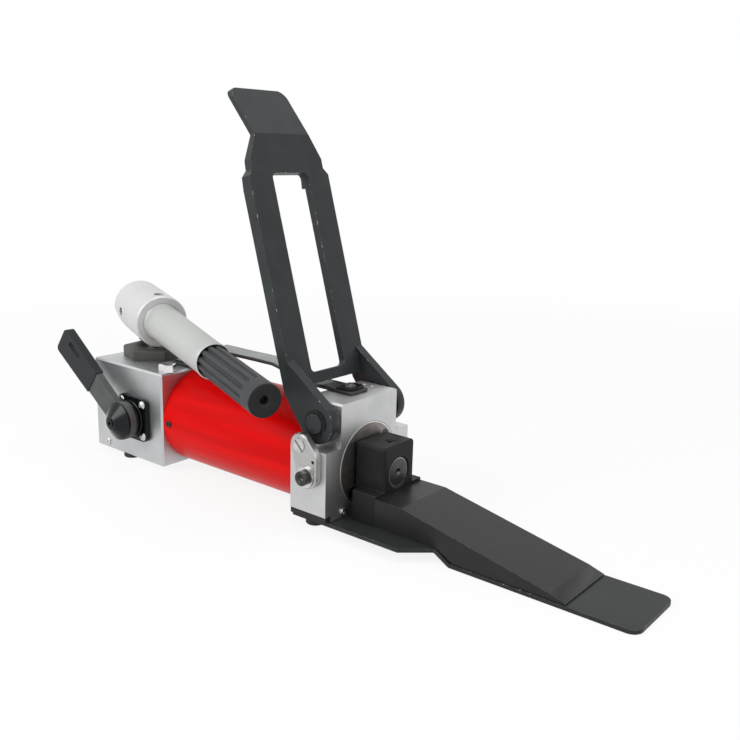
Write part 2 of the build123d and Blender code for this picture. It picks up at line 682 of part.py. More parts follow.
def ear_outline():
    """The ear from the side: its round end, and straight edges tangent to it."""
    back = JAW_FACE - JAW_THICKNESS
    points = []
    for x, z, turn in ((back, EAR_CORNER_LOW, 1), (JAW_FACE, EAR_FRONT_HIGH, -1)):
        angle = atan2(z, x) + turn * acos(EAR_RADIUS / hypot(x, z))
        points.append((EAR_RADIUS * cos(angle), EAR_RADIUS * sin(angle)))
    low, high = points
    return [
        (back, EAR_TOP),
        (back, EAR_CORNER_LOW),
        low,
        (0, 0),
        high,
        (JAW_FACE, EAR_FRONT_HIGH),
        (JAW_FACE, EAR_TOP),
    ]


def upper_jaw():
    """The upper jaw: two legs round a window, a crossbar, a bent tip and two ears on the pins."""
    body = jaw_plate()
    depth = 3 * JAW_THICKNESS
    height = WINDOW_HIGH - WINDOW_LOW
    window = Box(depth, 2 * WINDOW_HALF_WIDTH, height)
    window = fillet(window.edges().filter_by(Axis.X), WINDOW_CORNER)
    body -= Pos(JAW_FACE, 0, WINDOW_LOW + height / 2) * window
    back = JAW_FACE - JAW_THICKNESS
    half = WINDOW_HALF_WIDTH
    body -= box(back - 1, JAW_FACE - CROSSBAR_THICKNESS, -half, half, JAW_FOOT - 1, WINDOW_LOW + 1)
    body -= box(back - 1, JAW_FACE - LEG_WEB, -LEG_POCKET, LEG_POCKET, WINDOW_LOW, TAPER_LOW)
    for side in (-1, 1):
        low, high = sorted((side * EAR_INNER, side * JAW_HALF_WIDTH))
        ear = slab_xz(ear_outline(), low, high) + rod_y(EAR_RADIUS, low, high, 0, 0)
        body += ear
    body -= rod_y(PIN_RADIUS + RUNNING, -JAW_HALF_WIDTH - 1, JAW_HALF_WIDTH + 1, 0, 0)
    return lean(body)


def jaw_washer(side):
    """A thrust washer between an ear and the front block's tower."""
    low, high = sorted((side * (TOWER_HALF_WIDTH + SLIDING), side * EAR_INNER))
    ring = rod_y(WASHER_RADIUS, low, high, PIVOT_X, PIVOT_Z)
    return ring - rod_y(PIN_RADIUS + RUNNING, low - 1, high + 1, PIVOT_X, PIVOT_Z)


def jaw_pin(side):
    """A pivot pin, pressed into the tower, with a groove for its clip outside the ear."""
    end = JAW_HALF_WIDTH + PIN_PROUD
    low, high = sorted((side * PIN_INNER, side * end))
    pin = rod_y(PIN_RADIUS, low, high, PIVOT_X, PIVOT_Z)
    return pin - clip_ring(side, PIN_RADIUS + 1)


def clip_ring(side, outer):
    """The ring-shaped space of a clip, from the groove's bottom to an outer radius."""
    start = JAW_HALF_WIDTH + 2 * SIDE_GAP
    low, high = sorted((side * start, side * (start + CLIP_THICKNESS)))
    ring = rod_y(outer, low, high, PIVOT_X, PIVOT_Z)
    return ring - rod_y(PIN_RADIUS - CLIP_GROOVE, low - 1, high + 1, PIVOT_X, PIVOT_Z)


def jaw_clip(side):
    """A retaining clip: a split ring in the pin's groove."""
    ring = clip_ring(side, CLIP_RADIUS)
    gap = Pos(PIVOT_X, 0, PIVOT_Z) * Rot(0, 40, 0) * box(0, 2 * CLIP_RADIUS, -60, 60, -2.2, 2.2)
    return ring - gap


def latch_top():
    """The centre of the latch's round top end."""
    return LATCH_X + LATCH_TOP[0], LATCH_Z + LATCH_TOP[1]


def latch_plate():
    """The bent latch, which swings on one screw: three round ends and their common tangents."""
    top_x, top_z = latch_top()
    y1 = LATCH_FACE_Y
    y0 = y1 - LATCH_THICKNESS
    screw_end = (LATCH_X, LATCH_Z, LATCH_LOW_RADIUS)
    bend = (LATCH_X + LATCH_BEND[0], LATCH_Z + LATCH_BEND[1], LATCH_BEND_RADIUS)
    stud_end = (top_x, top_z, LATCH_TOP_RADIUS)
    plate = link_xz(*screw_end, *bend, y0, y1) + link_xz(*bend, *stud_end, y0, y1)
    plate += link_xz(*screw_end, *stud_end, y0, y1)
    plate = chamfer(plate.faces().sort_by(Axis.Y)[0].edges(), 0.8)
    plate -= rod_y(M8_RADIUS + RUNNING, y0 - 1, y1 + 1, LATCH_X, LATCH_Z)
    plate -= rod_y(LATCH_STUD_RADIUS, y0 - 1, y1 + 1, top_x, top_z)
    hole_x, hole_z = LATCH_HOLE
    return plate - rod_y(LATCH_HOLE_RADIUS, y0 - 1, y1 + 1, LATCH_X + hole_x, LATCH_Z + hole_z)


def latch_stud():
    """The slotted stud in the latch's top end."""
    top_x, top_z = latch_top()
    y0 = LATCH_FACE_Y - LATCH_THICKNESS - 0.8
    stud = rod_y(LATCH_STUD_RADIUS, y0, LATCH_FACE_Y, top_x, top_z)
    slot = Rot(0, 45, 0) * box(-7, 7, y0 - 1, y0 + 1.6, -0.8, 0.8)
    return stud - Pos(top_x, 0, top_z) * slot


def latch_washer():
    """The washer under the latch screw's head."""
    y1 = LATCH_FACE_Y - LATCH_THICKNESS - SIDE_GAP
    y0 = y1 - M8_WASHER_HEIGHT
    ring = rod_y(M8_WASHER, y0, y1, LATCH_X, LATCH_Z)
    return ring - rod_y(M8_RADIUS, y0 - 1, y1 + 1, LATCH_X, LATCH_Z)


def latch_screw():
    """The cap screw on which the latch swings."""
    seat = LATCH_FACE_Y - LATCH_THICKNESS - SIDE_GAP - M8_WASHER_HEIGHT
    screw = cap_screw(M8_RADIUS, LATCH_FACE_Y + LATCH_GRIP - seat, M8_HEAD, M8_HEAD_HEIGHT, 6.0)
    return Pos(LATCH_X, 0, LATCH_Z) * right_side(seat) * screw


def strap_line():
    """The strap's centre line in the middle plane, from its front end to its rear end."""
    lift = STRAP_THICKNESS / 2
    points = [
        (STRAP_FRONT_X, 0, FRONT_TOP_Z + lift),
        (STRAP_LIFT_X, 0, FRONT_TOP_Z + lift),
        (STRAP_CROWN_FRONT_X, 0, STRAP_CROWN_Z),
        (STRAP_CROWN_REAR_X, 0, STRAP_CROWN_Z),
        (STRAP_DROP_X, 0, PUMP_TOP_Z + lift),
        (STRAP_REAR_X, 0, PUMP_TOP_Z + lift),
    ]
    return FilletPolyline(*points, radius=STRAP_BEND)


def carry_strap():
    """The carrying strap, a flat band between the two blocks with a hand's gap under it."""
    line = strap_line()
    section = Plane(origin=line @ 0, x_dir=(0, 1, 0), z_dir=line % 0)
    return sweep(section * Rectangle(2 * STRAP_HALF_WIDTH, STRAP_THICKNESS), line)


def strap_clamp_places():
    """Each clamp's middle and the height of the strap's top there."""
    reach = CLAMP_INSET + CLAMP_LENGTH / 2
    return [
        (STRAP_FRONT_X - reach, FRONT_TOP_Z + STRAP_THICKNESS),
        (STRAP_REAR_X + reach, PUMP_TOP_Z + STRAP_THICKNESS),
    ]


def strap_clamp(x, z):
    """A clamp plate on one end of the strap, pointed at its front."""
    half = STRAP_HALF_WIDTH
    tail, nose = x - CLAMP_LENGTH / 2, x + CLAMP_LENGTH / 2
    outline = [(tail, -half), (nose, -half), (nose + CLAMP_POINT, 0), (nose, half), (tail, half)]
    plate = slab_xy(outline, z, z + CLAMP_THICKNESS)
    return plate - rod_z(STRAP_SCREW_RADIUS, z - 1, z + CLAMP_THICKNESS + 1, x)


def strap_screw(x, z):
    """The round-headed screw of one clamp."""
    return Pos(x, 0, z + CLAMP_THICKNESS) * button_screw(STRAP_SCREW_RADIUS, CLAMP_THICKNESS, 4.6, 2.6, 3.0)


def pump_turret():
    """The pump's hexagonal top, bored for the plunger."""
    prism = extrude(Rot(0, 0, 30) * RegularPolygon(TURRET_RADIUS, 6), amount=TURRET_HEIGHT)
    prism = chamfer(prism.edges().group_by(Axis.Z)[-1], TURRET_EDGE)
    body = at_pump(Pos(0, 0, PUMP_TOP_Z) * prism)
    body -= rod_z(PLUNGER_RADIUS + RUNNING, PUMP_TOP_Z - 1, TURRET_TOP_Z + 1, PUMP_X)
    groove = rod_z(PLUNGER_RADIUS + SEAL_DEPTH, TURRET_TOP_Z - SEAL_WIDTH, TURRET_TOP_Z + 1, PUMP_X)
    return body - groove


def plunger_seal():
    """The wiper in the turret's top, round the plunger."""
    ring = rod_z(PLUNGER_RADIUS + SEAL_DEPTH, TURRET_TOP_Z - SEAL_WIDTH, TURRET_TOP_Z, PUMP_X)
    return ring - rod_z(PLUNGER_RADIUS + RUNNING, PUMP_TOP_Z, TURRET_TOP_Z + 1, PUMP_X)


def pump_barrel():
    """The pump's own barrel, sunk in the pump block."""
    low = PUMP_TOP_Z - PUMP_BARREL_LENGTH
    shell = rod_z(PUMP_BARREL_RADIUS, low, PUMP_TOP_Z, PUMP_X)
    return shell - rod_z(PLUNGER_RADIUS + RUNNING, low + 4, PUMP_TOP_Z + 1, PUMP_X)


def at_pump(shape):
    """Turns a piece drawn about the plunger's axis to the side that the handle points to."""
    return Pos(PUMP_X, 0, 0) * Rot(0, 0, -HANDLE_YAW) * shape


def eye_z():
    """The height of the plunger's pin: on the handle's axis, one pump arm from the pivot."""
    return HANDLE_PIVOT_Z - PUMP_ARM * tan(radians(HANDLE_PITCH))


def pump_plunger():
    """The plunger, flattened to an eye where its pin crosses it."""
    top = eye_z()
    shank = rod_z(PLUNGER_RADIUS, PUMP_TOP_Z - PLUNGER_DEPTH, top)
    half = PLUNGER_EYE_WIDTH / 2
    flats = TURRET_TOP_Z + 4
    for side in (-1, 1):
        shank -= side_box(-30, 30, half, 30, flats, top + 1, side)
    body = shank + rod_y(PLUNGER_EYE_RADIUS, -half, half, 0, top)
    return at_pump(body - rod_y(PUMP_PIN_RADIUS, -30, 30, 0, top))


def plunger_pin():
    """The pin through the plunger's eye."""
    half = HEAD_SLOT / 2 - 1
    return at_pump(rod_y(PUMP_PIN_RADIUS, -half, half, 0, eye_z()))


def pivot_post():
    """The post on the turret that carries the handle's pivot."""
    half = POST_WIDTH / 2
    x0, x1 = -PUMP_ARM - POST_DEPTH / 2, -PUMP_ARM + POST_DEPTH / 2
    body = box(x0, x1, -half, half, TURRET_TOP_Z, HANDLE_PIVOT_Z)
    body += rod_y(POST_EYE_RADIUS, -half, half, -PUMP_ARM, HANDLE_PIVOT_Z)
    hole = rod_y(PIVOT_PIN_RADIUS + RUNNING, -30, 30, -PUMP_ARM, HANDLE_PIVOT_Z)
    return at_pump(body - hole)


def at_handle(shape):
    """Sets a piece drawn along X from the handle's pivot into its resting place."""
    place = Pos(-PUMP_ARM, 0, HANDLE_PIVOT_Z) * Rot(0, HANDLE_PITCH, 0)
    return at_pump(place * shape)


def along(radius, s0, s1):
    """A cylinder along the handle, between two distances from its pivot."""
    return rod_x(radius, s0, s1, 0, 0)


def handle_head():
    """The handle's head: a hollow sleeve, slotted underneath for the post and the plunger."""
    body = along(HEAD_RADIUS, -HEAD_BACK, HEAD_FRONT)
    body = chamfer(body.edges(), 1.2)
    body -= along(HEAD_BORE, -HEAD_BACK - 1, HEAD_FRONT - HEAD_WALL)
    body -= along(HANDLE_TUBE_REAR, HEAD_FRONT - TUBE_SEAT, HEAD_FRONT + 1)
    body -= along(CORE_RADIUS, 0, HEAD_FRONT + 1)
    half = HEAD_SLOT / 2
    body -= box(-HEAD_BACK - 1, HEAD_SLOT_END, -half, half, -HEAD_RADIUS - 1, 0)
    relief = [(-HEAD_BACK - 1, 2), (-HEAD_BACK - 1, -30), (HEAD_RELIEF, -30), (-HEAD_RELIEF, -9)]
    body -= slab_xz(relief, -30, 30)
    body -= rod_y(PIVOT_PIN_RADIUS, -30, 30, 0, 0)
    return at_handle(body - rod_z(HEAD_SCREW_RADIUS, 0, 30, HEAD_SCREW_S))


def head_screw():
    """The sunk screw that locks the handle tube in its head."""
    top = HEAD_RADIUS - HEAD_SCREW_SUNK
    body = rod_z(HEAD_SCREW_RADIUS, HEAD_BORE - 1, top, HEAD_SCREW_S)
    return at_handle(body - Pos(HEAD_SCREW_S, 0, top) * hex_socket(4.0, 1.5))


def handle_pivot_pin():
    """The pin on which the handle turns, through head and post."""
    half = HEAD_RADIUS - PIVOT_PIN_SUNK
    return at_handle(rod_y(PIVOT_PIN_RADIUS, -half, half, 0, 0))


def handle_tube():
    """The tapered handle tube, with a lip where the grip starts and a web round the core."""
    s0 = HEAD_FRONT - TUBE_SEAT
    s1 = HEAD_FRONT
    s2 = HEAD_FRONT + HANDLE_TUBE_LENGTH
    wall = HANDLE_TUBE_WALL
    profile = [
        (s0, HANDLE_TUBE_REAR),
        (s1, HANDLE_TUBE_REAR),
        (s2 - 4, HANDLE_TUBE_FRONT),
        (s2 - 2.5, HANDLE_TUBE_FRONT + HANDLE_LIP),
        (s2 - 1, HANDLE_TUBE_FRONT + HANDLE_LIP),
        (s2, HANDLE_TUBE_FRONT - 0.5),
        (s2, CORE_RADIUS),
        (s2 - HANDLE_WEB, CORE_RADIUS),
        (s2 - HANDLE_WEB, HANDLE_TUBE_FRONT - wall),
        (s1, HANDLE_TUBE_REAR - wall),
        (s0, HANDLE_TUBE_REAR - wall),
    ]
    face = make_face(Plane.XZ * Polyline(*profile, close=True))
    return at_handle(revolve(face, Axis.X))


def handle_core():
    """The steel tube inside the handle, from the head to the grip's end."""
    s0 = HEAD_FRONT - HEAD_WALL
    s1 = HEAD_FRONT + HANDLE_LENGTH - GRIP_CAP
    return at_handle(along(CORE_RADIUS, s0, s1) - along(CORE_BORE, s1 - 30, s1 + 1))


def handle_grip():
    """The rubber grip, with grooves along it and a hole in its end."""
    s0 = HEAD_FRONT + HANDLE_TUBE_LENGTH
    s1 = HEAD_FRONT + HANDLE_LENGTH
    body = along(GRIP_RADIUS, s0, s1)
    body = chamfer(body.edges().group_by(Axis.X)[-1], 1.2)
    body -= along(CORE_RADIUS, s0 - 1, s1 - GRIP_CAP)
    body -= along(CORE_BORE, s0, s1 + 1)
    slot = SlotOverall(GRIP_GROOVE_LENGTH, GRIP_GROOVE_WIDTH)
    cutter = extrude(Pos(s0 + GRIP_GROOVE_START + GRIP_GROOVE_LENGTH / 2, 0, 0) * slot, amount=30)
    cutter -= along(GRIP_RADIUS - GRIP_GROOVE_DEPTH, s0, s1)
    for rib in range(GRIP_GROOVES):
        body -= Rot(360 * rib / GRIP_GROOVES, 0, 0) * cutter
    return at_handle(body)


def valve_flange():
    """The square flange of the release valve."""
    half = FLANGE_SIZE / 2
    plate = box(-half, half, FLANGE_FACE_Y, -PUMP_HALF_WIDTH, -half, half)
    plate = fillet(plate.edges().filter_by(Axis.Y), FLANGE_CORNER)
    plate -= rod_y(STEM_RADIUS + RUNNING, -80, 0, 0, 0)
    for x, z in flange_screw_places():
        plate -= rod_y(2.5, -80, 0, x, z)
    return Pos(VALVE_X, 0, VALVE_Z) * plate


def flange_screw_places():
    """The flange's screws, from the valve's axis."""
    half = FLANGE_SCREW_PITCH / 2
    return [(sx * half, sz * half) for sx in (-1, 1) for sz in (-1, 1)]


def flange_screw(x, z):
    """A round-headed screw in the flange."""
    screw = button_screw(2.5, FLANGE_THICKNESS, 3.8, 2.4, 3.0)
    return Pos(VALVE_X + x, 0, VALVE_Z + z) * right_side(FLANGE_FACE_Y) * screw


def valve_collar():
    """The ribbed collar between flange and lever."""
    y0, y1 = COLLAR_FACE_Y, FLANGE_FACE_Y
    third = (y1 - y0) / 3
    body = rod_y(COLLAR_GROOVE, y0, y1, 0, 0)
    for start in (y0, y1 - third):
        rib = rod_y(COLLAR_RADIUS, start, start + third, 0, 0)
        body += chamfer(rib.edges().filter_by(GeomType.CIRCLE), 0.6)
    body -= rod_y(STEM_RADIUS + RUNNING, y0 - 1, y1 + 1, 0, 0)
    return Pos(VALVE_X, 0, VALVE_Z) * body


def at_lever(shape):
    """Turns a piece drawn along X from the valve's axis to the lever's resting angle."""
    return Pos(VALVE_X, 0, VALVE_Z) * Rot(0, -LEVER_ANGLE, 0) * shape


def lever_blade(start, y0, y1, swell):
    """The lever's flat arm from a distance along it to its end, with rounded end corners."""
    slope = (LEVER_END_HALF - LEVER_ROOT_HALF) / LEVER_LENGTH
    root = LEVER_ROOT_HALF + slope * start + swell
    end = LEVER_END_HALF + swell
    outline = [(start, -root), (LEVER_LENGTH + swell, -end), (LEVER_LENGTH + swell, end), (start, root)]
    blade = slab_xz(outline, y0, y1)
    return fillet(blade.edges().filter_by(Axis.Y).group_by(Axis.X)[-1], 4.0)


def lever_slot():
    """The slot through the lever's end."""
    low, high = LEVER_SLOT
    slot = SlotOverall(high - low, LEVER_SLOT_WIDTH)
    cutter = extrude(Plane.XZ * Pos((low + high) / 2, -LEVER_SLOT_OFFSET) * slot, amount=200, both=True)
    return cutter


def release_lever():
    """The steel lever on the valve's stem."""
    body = rod_y(LEVER_HUB, LEVER_OUT_Y, LEVER_FACE_Y, 0, 0)
    body += lever_blade(0, LEVER_OUT_Y, LEVER_FACE_Y, 0)
    body -= rod_y(STEM_RADIUS, -90, 0, 0, 0)
    return at_lever(body - lever_slot())


def lever_grip():
    """The moulded grip round the lever's end."""
    middle = (LEVER_OUT_Y + LEVER_FACE_Y) / 2
    half = LEVER_GRIP_THICKNESS / 2
    body = lever_blade(LEVER_GRIP_START, middle - half, middle + half, 0.8)
    body -= lever_blade(0, LEVER_OUT_Y, LEVER_FACE_Y, 0)
    return at_lever(body - lever_slot())


def valve_knob():
    """The cone that covers the lever's hub."""
    y0 = LEVER_OUT_Y
    body = rod_y(KNOB_RADIUS, y0 - KNOB_BAND, y0, 0, 0)
    cone = Rot(90, 0, 0) * Cone(KNOB_RADIUS, KNOB_NOSE, KNOB_LENGTH - KNOB_BAND)
    body += Pos(0, y0 - (KNOB_LENGTH + KNOB_BAND) / 2, 0) * cone
    body -= rod_y(STEM_RADIUS, y0 - KNOB_SOCKET, y0 + 1, 0, 0)
    body -= rod_y(KNOB_SCREW_RADIUS, y0 - KNOB_LENGTH - 1, y0 - KNOB_SOCKET, 0, 0)
    return Pos(VALVE_X, 0, VALVE_Z) * body


def knob_screw():
    """The screw in the cone's nose."""
    y0 = LEVER_OUT_Y - KNOB_LENGTH
    body = rod_y(KNOB_SCREW_RADIUS, y0 - 0.8, LEVER_OUT_Y - KNOB_SOCKET, 0, 0)
    socket = right_side(y0 - 0.8) * hex_socket(3.2, 2.2)
    return Pos(VALVE_X, 0, VALVE_Z) * (body - socket)


def valve_stem():
    """The stem from the valve seat inside the block to the lever and the cone."""
    inner = -PUMP_HALF_WIDTH + STEM_DEPTH - 2
    outer = LEVER_OUT_Y - KNOB_SOCKET
    body = rod_y(STEM_RADIUS, outer, COLLAR_FACE_Y - LEVER_GAP, 0, 0)
    body += rod_y(STEM_RADIUS - RUNNING, COLLAR_FACE_Y - LEVER_GAP, inner, 0, 0)
    return Pos(VALVE_X, 0, VALVE_Z) * body


def filler_plug():
    """The hexagonal filler plug."""
    hexagon = extrude(RegularPolygon(FILLER_RADIUS, 6), amount=FILLER_HEIGHT)
    hexagon = chamfer(hexagon.edges().group_by(Axis.Z)[-1], 0.8)
    return Pos(FILLER_X, FILLER_Y, PUMP_TOP_Z) * (hexagon + rod_z(FILLER_THREAD, -FILLER_DEPTH, 0))


def side_plug():
    """The small plug low on the pump block's right side."""
    screw = cap_screw(SMALL_THREAD, SIDE_PLUG_DEPTH, 3.4, 1.2, 2.0)
    return Pos(SIDE_PLUG_X, 0, SIDE_PLUG_Z) * right_side(-PUMP_HALF_WIDTH) * screw


def bleed_screw():
    """The small screw in the reservoir tube's side."""
    screw = cap_screw(SMALL_THREAD, TUBE_WALL, 2.9, 1.2, 2.0)
    return Pos(BLEED_X, 0, AXIS_Z) * right_side(-TUBE_RADIUS) * screw


SIDES = (-1, 1)

write("front_block", front_block())
write("pump_block", pump_block())
write("reservoir_tube", reservoir_tube())
write("tube_end_ring", tube_end_ring())
write("cylinder_barrel", cylinder_barrel())
write("piston", piston())
write("piston_seal", piston_seal())
write("piston_rod", piston_rod())
write("gland_ring", gland_ring())
write("rod_seal", rod_seal(ROD_SEAL_X))
write("rod_wiper", rod_seal(WIPER_X))
write("edge_strips", *[edge_strip(side) for side in SIDES])
write("face_screws", *[face_screw(side) for side in SIDES])
write("gland_screws", *[gland_screw(*place) for place in gland_screw_places()])
write("base_plate", base_plate())
write("base_screws", *[base_screw(*place) for place in base_screw_places()])
write("front_feet", *[foot(FRONT_FOOT_RADIUS, WING_Z, FRONT_FOOT_X, s * FRONT_FOOT_Y) for s in SIDES])
write("rear_feet", *[foot(REAR_FOOT_RADIUS, PUMP_BOTTOM_Z, REAR_FOOT_X, s * REAR_FOOT_Y) for s in SIDES])
write("yoke", yoke())
write("yoke_screw", yoke_screw())
write("wedge", wedge())
write("wedge_screws", *[wedge_screw(side) for side in SIDES])
write("upper_jaw", upper_jaw())
write("jaw_washers", *[jaw_washer(side) for side in SIDES])
write("jaw_pin_right", jaw_pin(-1))
write("jaw_pin_left", jaw_pin(1))
write("jaw_clips", *[jaw_clip(side) for side in SIDES])
write("latch_plate", latch_plate())
write("latch_stud", latch_stud())
write("latch_washer", latch_washer())
write("latch_screw", latch_screw())
write("carry_strap", carry_strap())
write("strap_clamps", *[strap_clamp(*place) for place in strap_clamp_places()])
write("strap_screws", *[strap_screw(*place) for place in strap_clamp_places()])
write("pump_turret", pump_turret())
write("plunger_seal", plunger_seal())
write("pump_barrel", pump_barrel())
write("pump_plunger", pump_plunger())
write("plunger_pin", plunger_pin())
write("pivot_post", pivot_post())
write("handle_head", handle_head())
write("head_screw", head_screw())
write("handle_pivot_pin", handle_pivot_pin())
write("handle_tube", handle_tube())
write("handle_core", handle_core())
write("handle_grip", handle_grip())
write("valve_flange", valve_flange())
write("flange_screws", *[flange_screw(*place) for place in flange_screw_places()])
write("valve_collar", valve_collar())
write("valve_stem", valve_stem())
write("release_lever", release_lever())
write("lever_grip", lever_grip())
write("valve_knob", valve_knob())
write("knob_screw", knob_screw())
write("filler_plug", filler_plug())
write("side_plug", side_plug())
write("bleed_screw", bleed_screw())
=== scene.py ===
# %% [markdown]
# # A wedge jack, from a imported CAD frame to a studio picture
# The jack lies on a pale floor: a pump block at the back, a red reservoir tube, and a front block that
# carries a swing jaw above and a sliding wedge below. Its form comes from the CAD model, which this
# script loads as a fixed frame. What is left to make is how it looks: soft edges, real finishes, and the
# few moulded pieces whose surfaces are worked out here with numpy.

# %% Load the frame
import json

import bpy
import numpy as np
from mathutils import Matrix, Vector

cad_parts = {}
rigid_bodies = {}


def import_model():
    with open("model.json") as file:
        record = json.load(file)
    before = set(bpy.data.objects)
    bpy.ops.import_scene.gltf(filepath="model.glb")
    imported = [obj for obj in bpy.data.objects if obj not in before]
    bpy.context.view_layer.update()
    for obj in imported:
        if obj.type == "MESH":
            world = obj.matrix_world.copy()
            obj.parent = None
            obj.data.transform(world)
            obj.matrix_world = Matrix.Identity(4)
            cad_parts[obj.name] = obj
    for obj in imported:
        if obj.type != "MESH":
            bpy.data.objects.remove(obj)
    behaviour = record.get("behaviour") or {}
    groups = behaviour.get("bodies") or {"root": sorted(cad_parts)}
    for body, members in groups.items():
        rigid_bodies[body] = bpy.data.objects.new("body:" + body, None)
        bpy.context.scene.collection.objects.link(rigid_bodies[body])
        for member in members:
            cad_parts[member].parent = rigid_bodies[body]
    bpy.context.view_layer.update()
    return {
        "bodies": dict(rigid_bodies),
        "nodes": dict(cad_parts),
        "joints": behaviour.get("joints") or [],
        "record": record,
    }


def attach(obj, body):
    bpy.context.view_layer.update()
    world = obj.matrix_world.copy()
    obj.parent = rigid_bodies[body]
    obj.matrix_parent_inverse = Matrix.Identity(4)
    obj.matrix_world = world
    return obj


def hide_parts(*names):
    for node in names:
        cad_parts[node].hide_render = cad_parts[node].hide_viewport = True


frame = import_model()
nodes = frame["nodes"]

# %% [markdown]
# ## The camera
# The photograph looks down on the jack from its front right. A camera can be placed by eye, but a few
# pixels of error show at once on such long straight edges. So the place, the turn and the lens are the
# ones for which the corners of both blocks, the tube and the toe fall where the photograph has them.
# Azimuth turns about +Z from the -Y side, elevation lifts, and roll turns the picture.

# %% Place the camera
AZIMUTH, ELEVATION, ROLL = np.radians([38.71, 13.93, 1.58])
CAMERA_PLACE = (0.24647, -0.51897, 0.28479)
LENS_MM, SENSOR_MM, SHIFT_X = 43.9, 36.0, 0.0018


def camera_axes(azimuth, elevation, roll):
    """Right, up and backward vectors: back points from the object to the camera, right is level, up is
    their cross product, and both are then turned by the roll."""
    back = np.array(
        [
            np.sin(azimuth) * np.cos(elevation),
            -np.cos(azimuth) * np.cos(elevation),
            np.sin(elevation),
        ]
    )
    level = np.array([np.cos(azimuth), np.sin(azimuth), 0.0])
    upright = np.cross(back, level)
    right = np.cos(roll) * level + np.sin(roll) * upright
    up = -np.sin(roll) * level + np.cos(roll) * upright
    return right, up, back


camera = bpy.data.objects.new("camera", bpy.data.cameras.new("camera"))
bpy.context.scene.collection.objects.link(camera)
turn = Matrix(np.column_stack(camera_axes(AZIMUTH, ELEVATION, ROLL)).tolist())
camera.matrix_world = Matrix.Translation(CAMERA_PLACE) @ turn.to_4x4()
camera.data.lens, camera.data.sensor_width = LENS_MM, SENSOR_MM
camera.data.shift_x = SHIFT_X
camera.data.clip_start, camera.data.clip_end = 0.01, 50.0
bpy.context.scene.camera = camera
print("camera at", CAMERA_PLACE, "lens", LENS_MM, "mm")

# %% [markdown]
# ## Shader maths that reads like maths
# Every finish below is a small formula over the surface: noise, stretched noise, and masks made from
# them. Wiring such a formula node by node hides it, so one class wraps an output socket and turns
# ordinary operators into Math nodes, and another makes any other node in one call.


# %% A socket that can be added and multiplied
class Signal:
    """One output socket of a material. Operators on it add Math nodes to that material."""

    def __init__(self, finish, socket):
        self.finish, self.socket = finish, socket

    def _math(self, operation, first, second=None):
        values = {0: first} if second is None else {0: first, 1: second}
        return self.finish.node("ShaderNodeMath", {"operation": operation}, values)

    def __add__(self, other):
        return self._math("ADD", self, other)

    def __sub__(self, other):
        return self._math("SUBTRACT", self, other)

    def __rsub__(self, other):
        return self._math("SUBTRACT", other, self)

    def __mul__(self, other):
        return self._math("MULTIPLY", self, other)

    def __gt__(self, other):
        return self._math("GREATER_THAN", self, other)

    __radd__, __rmul__ = __add__, __mul__

    def sine(self):
        """The sine of this value, in radians."""
        return self._math("SINE", self)

    def size(self):
        """This value without its sign."""
        return self._math("ABSOLUTE", self)

    def ramp(self, low, high):
        """0 below low, 1 above high, and a straight line between them; low may be above high."""
        settings = {"clamp": True, "interpolation_type": "SMOOTHSTEP"}
        inputs = {"Value": self, "From Min": low, "From Max": high, "To Min": 0.0, "To Max": 1.0}
        return self.finish.node("ShaderNodeMapRange", settings, inputs)


